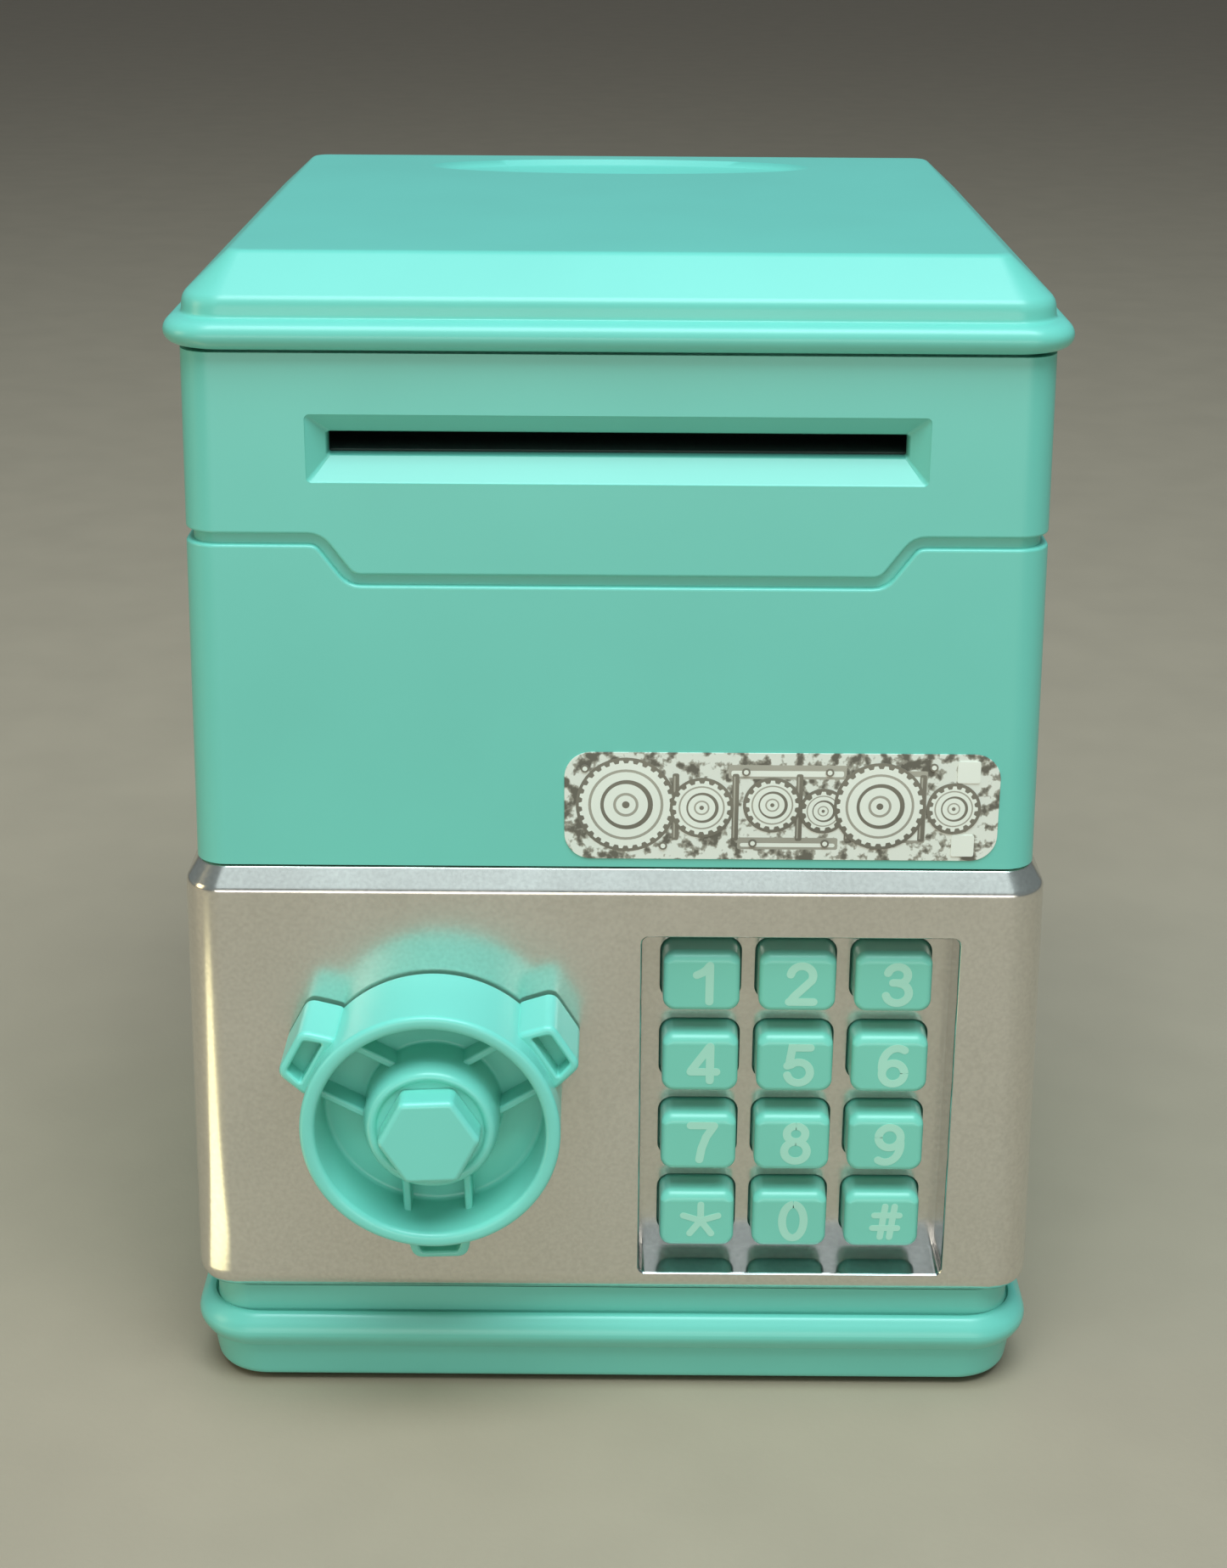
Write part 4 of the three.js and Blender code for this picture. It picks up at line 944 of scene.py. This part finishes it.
def door_panel():
    inner_corner = DOOR_CORNER - DOOR_WALL
    hollow_sections = [
        (DOOR_BOTTOM + DOOR_WALL, door_half(DOOR_BOTTOM) - DOOR_WALL - 0.2, inner_corner),
        (DOOR_BEVEL_FOOT - 0.6, DOOR_TOP_HALF - DOOR_WALL, inner_corner),
    ]
    shell = cut(door_block(), plan_loft("hollow", hollow_sections))
    hinge_x, hinge_y = HINGE
    stile = common(door_block(), box(hinge_x - 4.8, FAR, hinge_y - 4.2, DOOR_REAR - 0.02, 0, ABOVE))
    pan_low, pan_high = PAD_LOW - PAD_WALL, PAD_HIGH + PAD_WALL
    pan_rear = PAD_FLOOR_Y + PAD_FLOOR
    pan = box(PAD_LEFT - PAD_WALL, PAD_RIGHT + PAD_WALL, -FAR, pan_rear, pan_low, pan_high)
    bearing = on_knob_axis(rod(BEARING_RADIUS, -7.5, -1))
    shell = join(shell, stile, common(door_block(), pan), bearing)
    spindle_hole = on_knob_axis(rod(SPINDLE_RADIUS + 0.12, -12, 5))
    holes = []
    for _, x, z in key_places():
        hole = stacked("hole", key_outline(KEY_GAP), [(-3, 0), (-0.25, 0), (-0.05, -0.12), (0.5, -0.4)])
        holes.append(facing_front(hole, x, PAD_FLOOR_Y, z))
    shell = cut(shell, pad_recess(), spindle_hole, together(holes))
    knuckle = rod(DOOR_REAR - hinge_y, -5, ABOVE + 5, hinge_x, hinge_y, 64)
    shell = cut(shell, cut(box(hinge_x, FAR, hinge_y, DOOR_REAR + 5, 0, ABOVE), knuckle))
    for low, high in HINGE_PIN_SPANS:
        shell = cut(shell, rod(HINGE_PIN_HOLE, low, high, hinge_x, hinge_y, 32))
    return smooth(shell)


def gloss_recess(panel):
    """Gives the walls of the keypad's recess a glossier finish than the rest of the door."""
    panel.data.materials.append(BRIGHT_SILVER)
    low = TO_ROW @ Vector((PAD_LEFT - 0.3, -70, PAD_LOW - 0.3))
    high = TO_ROW @ Vector((PAD_RIGHT + 0.3, PAD_FLOOR_Y + 0.2, PAD_HIGH + 0.3))
    for polygon in panel.data.polygons:
        inside = all(low[i] < polygon.center[i] < high[i] for i in range(3))
        if inside and abs(polygon.normal.y) < 0.8:
            polygon.material_index = 1


door = place(door_panel(), "door_panel", "door", SILVER, ["door_shell"])
gloss_recess(door)


# ---------------------------------------- keys


def extend_end(left, right, end, outward, half_width):
    """Adds the rows of a rounded end to a ribbon's two sides, at its start or at its finish."""
    angles = (80, 60, 40, 20)
    starting = not left
    side = Vector((-outward.y, outward.x)) * (-1 if starting else 1)
    for degrees in angles if starting else reversed(angles):
        angle = math.radians(degrees)
        centre = end + outward * (half_width * math.sin(angle))
        reach = side * (half_width * math.cos(angle))
        left.append(centre + reach)
        right.append(centre - reach)


def stroke(points, half_width, low, high):
    """A ribbon along a line of (x, y) points, as a closed solid between two heights."""
    closed = math.dist(points[0], points[-1]) < half_width
    left, right = [], []
    count = len(points)
    for i, point in enumerate(points):
        here = Vector(point)
        back = (here - Vector(points[i - 1])).normalized() if i else None
        ahead = (Vector(points[i + 1]) - here).normalized() if i + 1 < count else None
        back = back or ahead
        ahead = ahead or back
        sideways = mitre(back, ahead, 0.5) * half_width
        if i == 0 and not closed:
            extend_end(left, right, here, -ahead, half_width)
        left.append(here + sideways)
        right.append(here - sideways)
        if i + 1 == count and not closed:
            extend_end(left, right, here, back, half_width)
    bm = bmesh.new()
    rows = []
    for a, b in zip(left, right):
        corners = ((a, low), (b, low), (b, high), (a, high))
        rows.append([bm.verts.new((*point, z)) for point, z in corners])
    for lower, upper in zip(rows, rows[1:]):
        bridge(bm, upper, lower)
    bm.faces.new(rows[0])
    bm.faces.new(list(reversed(rows[-1])))
    return mesh_object("stroke", bm)


def star_arms():
    arms = []
    for arm in range(5):
        angle = math.radians(90 + 72 * arm)
        arms.append([(0, 0), (2.9 * math.cos(angle), 2.9 * math.sin(angle))])
    return arms


SIX = [bow(0, -1.3, 1.74, 1.8, 0, 360, 30), bow(0.55, 0.0, 2.32, 3.08, 62, 192, 20)]
SYMBOLS = {
    "1": [[(-1.35, 1.45), (-0.5, 1.85), (0.15, 2.4), (0.5, 2.9)], [(0.62, 3.05), (0.62, -3.05)]],
    "2": [
        bow(0.0, 1.4, 1.72, 1.68, 172, -28, 16) + [(-1.1, -2.1), (-1.72, -3.0)],
        [(-1.85, -3.0), (1.9, -3.0)],
    ],
    "3": [
        bow(-0.05, 1.62, 1.55, 1.46, 165, -75, 16),
        [(-0.7, 0.35), (0.3, 0.35)],
        bow(0, -1.4, 1.78, 1.68, 82, -165, 18),
    ],
    "4": [[(0.85, 3.1), (-1.95, -1.0)], [(-2.05, -1.25), (1.95, -1.25)], [(0.95, 3.15), (0.95, -2.75)]],
    "5": [
        [(1.75, 3.05), (-1.05, 3.05), (-1.5, 0.1)],
        [(-1.75, -0.1), (-1.1, 0.1)],
        bow(0, -1.25, 1.8, 1.8, 128, -165, 20),
    ],
    "6": SIX,
    "7": [[(-1.85, 3.2), (1.8, 3.2)], [(1.8, 3.15), (0.6, 1.2), (-0.1, -0.9), (-0.4, -2.85)]],
    "8": [bow(0, 1.85, 1.45, 1.38, 90, 450, 28), bow(0, -1.28, 1.78, 1.72, 90, 450, 30)],
    "9": [[(-x, -y) for x, y in line] for line in SIX],
    "0": [bow(0, 0, 1.72, 3.06, 90, 450, 36)],
    "star": star_arms(),
    "hash": [
        [(-0.75, -2.8), (-0.1, 2.8)],
        [(0.75, -2.8), (1.4, 2.8)],
        [(-1.75, 1.15), (2.2, 1.15)],
        [(-2.0, -1.15), (1.95, -1.15)],
    ],
}
DIGIT_STROKE_HALF = 0.64
SIGN_STROKE_HALF = {"star": 0.54, "hash": 0.52}


def key_rounding(y):
    """Radius of the cap's front edge at height y: larger along its top than on the other sides."""
    side, extra_on_top, rise_from = 0.85, 0.9, 2.4
    share = max(0.0, min(1.0, (y - rise_from) / (KEY_HALF_Z - rise_from)))
    return side + extra_on_top * share * share * (3 - 2 * share)


def keycap(x, z):
    depth = KEY_REAR_Y - KEY_FRONT_Y
    outline = key_outline()
    inwards = inset_outline(outline, 1.0)
    rings = [[(*point, 0.9) for point in key_outline(0.12)]]
    steps = 8
    for step in range(steps + 1):
        angle = step / steps * math.pi / 2
        ring = []
        for (px, py), (qx, qy) in zip(outline, inwards):
            radius = key_rounding(py)
            inset = radius * (1 - math.cos(angle))
            height = depth - radius * (1 - math.sin(angle))
            ring.append((px + (qx - px) * inset, py + (qy - py) * inset, height))
        rings.append(ring)
    cap = ring_mesh("cap", rings)
    foot = rounded_rectangle(KEY_HALF_X + 0.85, KEY_HALF_Z + 0.9, 2.0, 4)
    flange = stacked("flange", foot, [(0, 0), (1, 0)])
    return smooth(facing_front(join(cap, flange), x, KEY_REAR_Y, z))


def symbol(name, x, z):
    """A key's print. Each stroke stands a little higher than the last, so that none share a face."""
    half_width = SIGN_STROKE_HALF.get(name, DIGIT_STROKE_HALF)
    strokes = []
    for layer, line in enumerate(SYMBOLS[name]):
        strokes.append(stroke(line, half_width, -0.05, 0.03 + 0.004 * layer))
    return facing_front(together(strokes), x + SYMBOL_SHIFT_X, KEY_FRONT_Y, z + SYMBOL_SHIFT_Z)


for key_name, key_x, key_z in key_places():
    body = "key_" + key_name
    place(keycap(key_x, key_z), "keycap_" + key_name, body, KEY_TEAL, [body])
    place(symbol(key_name, key_x, key_z), "symbol_" + key_name, body, SYMBOL_INK)


# ---------------------------------------- knob


def lug(angle):
    outline = soften_loop([(18.0, -5.6), (24.0, -4.1), (24.0, 4.1), (18.0, 5.6)], 1.5, 5)
    return spun(pillow("lug", outline, KNOB_GAP + 0.15, LUG_FRONT, 0.8, 5), angle)


def lug_pocket(angle):
    outline = soften_loop([(20.1, -3.7), (22.8, -2.8), (22.8, 2.8), (20.1, 3.7)], 0.5, 3)
    return spun(flared("pocket", outline, LUG_FRONT - 3.4, LUG_FRONT, 0.45), angle)


def spokes(angle):
    """A pair of parallel spokes between the hub and the ring."""
    start, end, half_width = 8.2, 16.9, 0.6
    pair = []
    for y in (-SPOKE_OFFSET, SPOKE_OFFSET):
        low, high = y - half_width, y + half_width
        outline = [(start, low), (end, low), (end, high), (start, high)]
        spoke = pillow("spoke", outline, KNOB_FLOOR - 0.5, KNOB_FLOOR + SPOKE_HEIGHT, 0.4, 3)
        pair.append(spun(spoke, angle))
    return pair


def knob_wheel():
    profile = soften(
        [
            (0, KNOB_GAP),
            (KNOB_RADIUS - 0.2, KNOB_GAP),
            (KNOB_RADIUS, KNOB_FRONT),
            (KNOB_INNER, KNOB_FRONT),
            (KNOB_INNER - 0.4, KNOB_FLOOR),
            (HUB_RADIUS + 0.1, KNOB_FLOOR),
            (HUB_RADIUS, HUB_FRONT - 1.9),
            (HUB_RADIUS - 0.6, HUB_FRONT - 0.3),
            (HUB_RADIUS - 1.3, HUB_FRONT + 0.15),
            (HUB_RADIUS - 1.95, HUB_FRONT - 0.1),
            (HUB_RADIUS - 2.25, HUB_DISH),
            (0, HUB_DISH),
        ],
        (0, 0.4, 0.9, 1.1, 0.8, 0.5, 0.9, 0.8, 0.4, 0.4, 0.3, 0),
        6,
    )
    wheel = turned("wheel", profile, 160)
    for angle in LUG_ANGLES:
        wheel = join(wheel, lug(angle))
        wheel = cut(wheel, lug_pocket(angle))
        wheel = join(wheel, *spokes(angle))
    wheel = cut(wheel, rod(SPINDLE_RADIUS + 0.1, -1, KNOB_FLOOR + 3), rod(2.6, 0, HUB_FRONT + 1))
    return smooth(on_knob_axis(wheel))


def hex_cap():
    corners = bow(0, 0, HEX_CORNER, HEX_CORNER, HEX_TURN, HEX_TURN + 300, 5)
    head = pillow("head", soften_loop(corners, 0.8, 5), HUB_DISH + 0.1, HEX_FRONT, 0.9, 6)
    head = join(head, rod(2.4, KNOB_FLOOR + 4, HUB_DISH + 0.5))
    return smooth(on_knob_axis(head))


# Body and cap take the knob teal, which is painted lighter to stand in for the extra light the knob
# catches.
place(knob_wheel(), "knob_body", "knob", KNOB_TEAL_PAINTED_LIGHTER, ["knob_wheel"])
place(hex_cap(), "knob_cap", "knob", KNOB_TEAL_PAINTED_LIGHTER, ["knob_hex_cap"])


# ---------------------------------------- sticker

CARD_THICKNESS = 0.2
PRINT_STEP = 0.002
TOOTH_HEIGHT = 0.45
PLATES = ((-8.0, 9.5, 4.4, 6.6), (-6.5, 8.5, -6.8, -4.9), (17.5, 21.5, -5.6, 5.8))
POSTS = (-15.8, -6.9, 2.6, 9.9, 20.9)
CORNER_PATCHES = ((27.6, 5.7), (27.2, -6.0))
SCREW_HEADS = (
    (-29.3, 5.9),
    (-17.6, -6.3),
    (-5.4, 5.5),
    (7.0, 5.5),
    (-4.2, -5.8),
    (6.6, -5.8),
    (22.4, 6.4),
)
# each disc on a wheel as (tone, share of the wheel's radius, shift)
DISCS = (
    ("mid", 0.80, 0.0),
    ("light", 0.74, 0.0),
    ("dark", 0.56, 0.12),
    ("light", 0.47, 0.0),
    ("mid", 0.27, 0.0),
    ("light", 0.21, 0.0),
    ("dark", 0.08, 0.0),
)
# each wheel as (x, y, radius, teeth)
WHEELS = (
    (-23.2, 0.2, 7.0, 30),
    (-11.9, -0.2, 4.3, 18),
    (-1.4, 0.3, 3.9, 16),
    (6.2, -0.6, 3.1, 12),
    (14.6, 0.2, 6.4, 26),
    (25.6, -0.1, 3.6, 16),
)


def gear_outline(cx, cy, radius, teeth):
    root = radius - TOOTH_HEIGHT
    points = []
    for tooth in range(teeth):
        for share, reach in ((-0.3, root), (-0.18, radius), (0.18, radius), (0.3, root)):
            angle = (tooth + share) / teeth * 2 * math.pi
            points.append((cx + reach * math.cos(angle), cy + reach * math.sin(angle)))
    return points


def patch(x0, x1, y0, y1, corner=0.3):
    middle_x, middle_y = (x0 + x1) / 2, (y0 + y1) / 2
    outline = rounded_rectangle((x1 - x0) / 2, (y1 - y0) / 2, corner, 3)
    return [(x + middle_x, y + middle_y) for x, y in outline]


def round_patch(cx, cy, radius):
    return bow(cx, cy, radius, radius, 0, 360, 48)[:-1]


def drawing():
    """A gear train between plates and posts, as (tone, outline) in painting order."""
    painted = []
    for x0, x1, y0, y1 in PLATES:
        painted.append(("mid", patch(x0, x1, y0, y1)))
        painted.append(("light", patch(x0 + 0.4, x1 - 0.4, y0 + 0.4, y1 - 0.9)))
    for x in POSTS:
        painted.append(("dark", patch(x - 0.5, x + 0.5, -5.4, 5.2)))
        painted.append(("mid", patch(x - 0.3, x - 0.05, -5.0, 4.8, 0.1)))
    for cx, cy, radius, teeth in WHEELS:
        painted.append(("dark", round_patch(cx, cy, radius + TOOTH_HEIGHT)))
        painted.append(("light", gear_outline(cx, cy, radius, teeth)))
        for tone, share, shift in DISCS:
            painted.append((tone, round_patch(cx + shift, cy, radius * share)))
    for x, y in CORNER_PATCHES:
        painted.append(("light", patch(x - 1.7, x + 1.7, y - 1.7, y + 1.7)))
    for x, y in SCREW_HEADS:
        painted.append(("dark", round_patch(x, y, 0.62)))
        painted.append(("light", round_patch(x, y, 0.36)))
    return painted


def on_front(obj):
    """From the sticker's own frame to its place on the leaning front of the case."""
    facing_front(obj, LABEL_X, wall_front(LABEL_Z), LABEL_Z)
    return leaning(obj, LABEL_Z)


card_outline = rounded_rectangle(LABEL_HALF_X, LABEL_HALF_Z, LABEL_CORNER)
card = pillow("card", card_outline, 0.01, CARD_THICKNESS, 0.05, 3)
place(smooth(on_front(card)), "label_card", "case", LABEL_GROUND, ["mechanism_label"])
PRINT_TONES = {"light": CARD, "mid": PRINT_MID, "dark": PRINT_DARK}
for tone, tone_material in PRINT_TONES.items():
    inked = []
    for layer, (painted_tone, outline) in enumerate(drawing()):
        if painted_tone == tone:
            height = CARD_THICKNESS + PRINT_STEP * (layer + 1)
            inked.append(stacked("ink", outline, [(CARD_THICKNESS - 0.1, 0), (height, 0)]))
    place(on_front(together(inked)), "label_print_" + tone, "case", tone_material)


# ---------------------------------------- spring

SPRING_X, SPRING_Y = KNOB_X, -54.7
SPRING_LOW, SPRING_HIGH = 64.9, 69.8
SPRING_RADIUS = 2.8
SPRING_WIRE = 0.3
SPRING_TURNS = 4


def spring():
    rings = []
    steps = SPRING_TURNS * 28
    for step in range(steps + 1):
        angle = step / steps * SPRING_TURNS * 2 * math.pi
        along = Vector((-math.sin(angle), math.cos(angle), 0.07)).normalized()
        outward = Vector((math.cos(angle), math.sin(angle), 0))
        upward = along.cross(outward) * -1
        centre = outward * SPRING_RADIUS
        centre.z = SPRING_LOW + (SPRING_HIGH - SPRING_LOW) * step / steps
        ring = []
        for side in range(10):
            turn = side / 10 * 2 * math.pi
            ring.append(centre + SPRING_WIRE * (outward * math.cos(turn) - upward * math.sin(turn)))
        rings.append(ring)
    return smooth(moved(ring_mesh("spring", rings), SPRING_X, SPRING_Y, 0))


coil = place(spring(), "spring_coil", "door", STEEL, ["plunger_spring"])
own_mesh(coil)


# ---------------------------------------- carried-over CAD nodes

SLOT_MATERIALS = {
    "teal_plastic": TEAL,
    "grey_plastic": GREY,
    "foot_rubber": RUBBER,
    "mat_rubber": MAT_RUBBER,
    "steel": STEEL,
    "circuit_board": BOARD,
    "cell_wrap": CELL_WRAP,
    "nylon": NYLON,
}


def dress_node(node, material):
    """A procedural finish and softened edges, by modifiers only."""
    node.data.materials.clear()
    node.data.materials.append(material)
    node.modifiers.new("weld", "WELD").merge_threshold = 0.001 * MM
    bevel_edges(node, math.radians(45), 0.15 * MM)


for part in frame["record"]["subparts"]:
    node = frame["nodes"][part["node"]]
    if not node.hide_render:
        dress_node(node, SLOT_MATERIALS[part["material_slot"]])


# ---------------------------------------- stage, light and camera

FLOOR_HALF = 12.0
CARD_HEIGHT = 0.002
LENS, SENSOR_WIDTH = 56.38, 36.0
EYE = (0.14, -401.807, 234.5)  # in millimetres, in the frame of the case
YAW, PITCH, ROLL = math.radians(0.074), math.radians(90 - 21.299), math.radians(0.363)


def floor():
    bm = bmesh.new()
    bmesh.ops.create_grid(bm, x_segments=1, y_segments=1, size=FLOOR_HALF)
    obj = mesh_object("floor", bm)
    obj.data.materials.append(FLOOR)
    return obj


def softbox(name, place_at, aim, width, height, power, colour):
    """A rectangular light, in metres and watts."""
    light = bpy.data.lights.new(name, "AREA")
    light.shape = "RECTANGLE"
    light.size = width
    light.size_y = height
    light.energy = power
    light.color = colour
    obj = bpy.data.objects.new(name, light)
    bpy.context.scene.collection.objects.link(obj)
    obj.location = place_at
    obj.rotation_euler = (Vector(aim) - Vector(place_at)).to_track_quat("-Z", "Y").to_euler()
    return obj


def gloss_card(name, x, y, turn, width, length, power, colour):
    """A patch of light lying on the floor that is seen only in gloss, like a sunlit bit of table."""
    card = softbox(name, (x, y, CARD_HEIGHT), (x, y, 1), width, length, power, colour)
    card.rotation_euler = (math.pi, 0, math.radians(turn))
    card.visible_camera = False
    card.visible_diffuse = False


def spare(light, ground):
    """Keeps a low light off the floor, where its edge would show."""
    receivers = bpy.data.collections.new("spared by " + light.name)
    receivers.objects.link(ground)
    receivers.collection_objects[0].light_linking.link_state = "EXCLUDE"
    light.light_linking.receiver_collection = receivers


def camera():
    data = bpy.data.cameras.new("camera")
    data.lens = LENS
    data.sensor_width = SENSOR_WIDTH
    obj = bpy.data.objects.new("camera", data)
    bpy.context.scene.collection.objects.link(obj)
    turn = Matrix.Rotation(YAW, 4, "Z") @ Matrix.Rotation(PITCH, 4, "X") @ Matrix.Rotation(ROLL, 4, "Z")
    obj.matrix_world = Matrix.Translation(TO_ROW @ Vector(EYE)) @ turn
    bpy.context.scene.camera = obj


def surroundings(colour, strength):
    world = bpy.data.worlds.new("studio")
    world.use_nodes = True
    background = world.node_tree.nodes["Background"]
    background.inputs["Color"].default_value = (*colour, 1.0)
    background.inputs["Strength"].default_value = strength
    bpy.context.scene.world = world


table = floor()
surroundings((0.80, 0.95, 1.0), 0.17)
softbox("key", (0.1, -0.55, 1.4), (0, 0, 0.1), 1.1, 0.7, 20.5, (0.71, 0.93, 1.0))
softbox("front fill", (0, -1.05, 1.05), (0, 0, 0.1), 1.4, 1.0, 2.8, (0.80, 0.94, 1.0))
softbox("overhead", (0, 0.0, 1.3), (0, 0, 0.1), 1.2, 0.9, 4.0, (0.45, 0.78, 1.0))
low_front = softbox("low front", (0, -1.1, 0.1), (0, 0, 0.03), 1.2, 0.2, 2.8, (1.0, 0.97, 0.92))
spare(low_front, table)
softbox("left", (-0.9, -0.25, 0.3), (0, 0, 0.08), 0.3, 0.4, 1.2, (1.0, 0.84, 0.5))
gloss_card("left gloss", -0.147, -0.113, -60, 0.05, 0.14, 0.04, (1.0, 0.91, 0.52))
camera()
bpy.context.scene.view_settings.view_transform = "Standard"
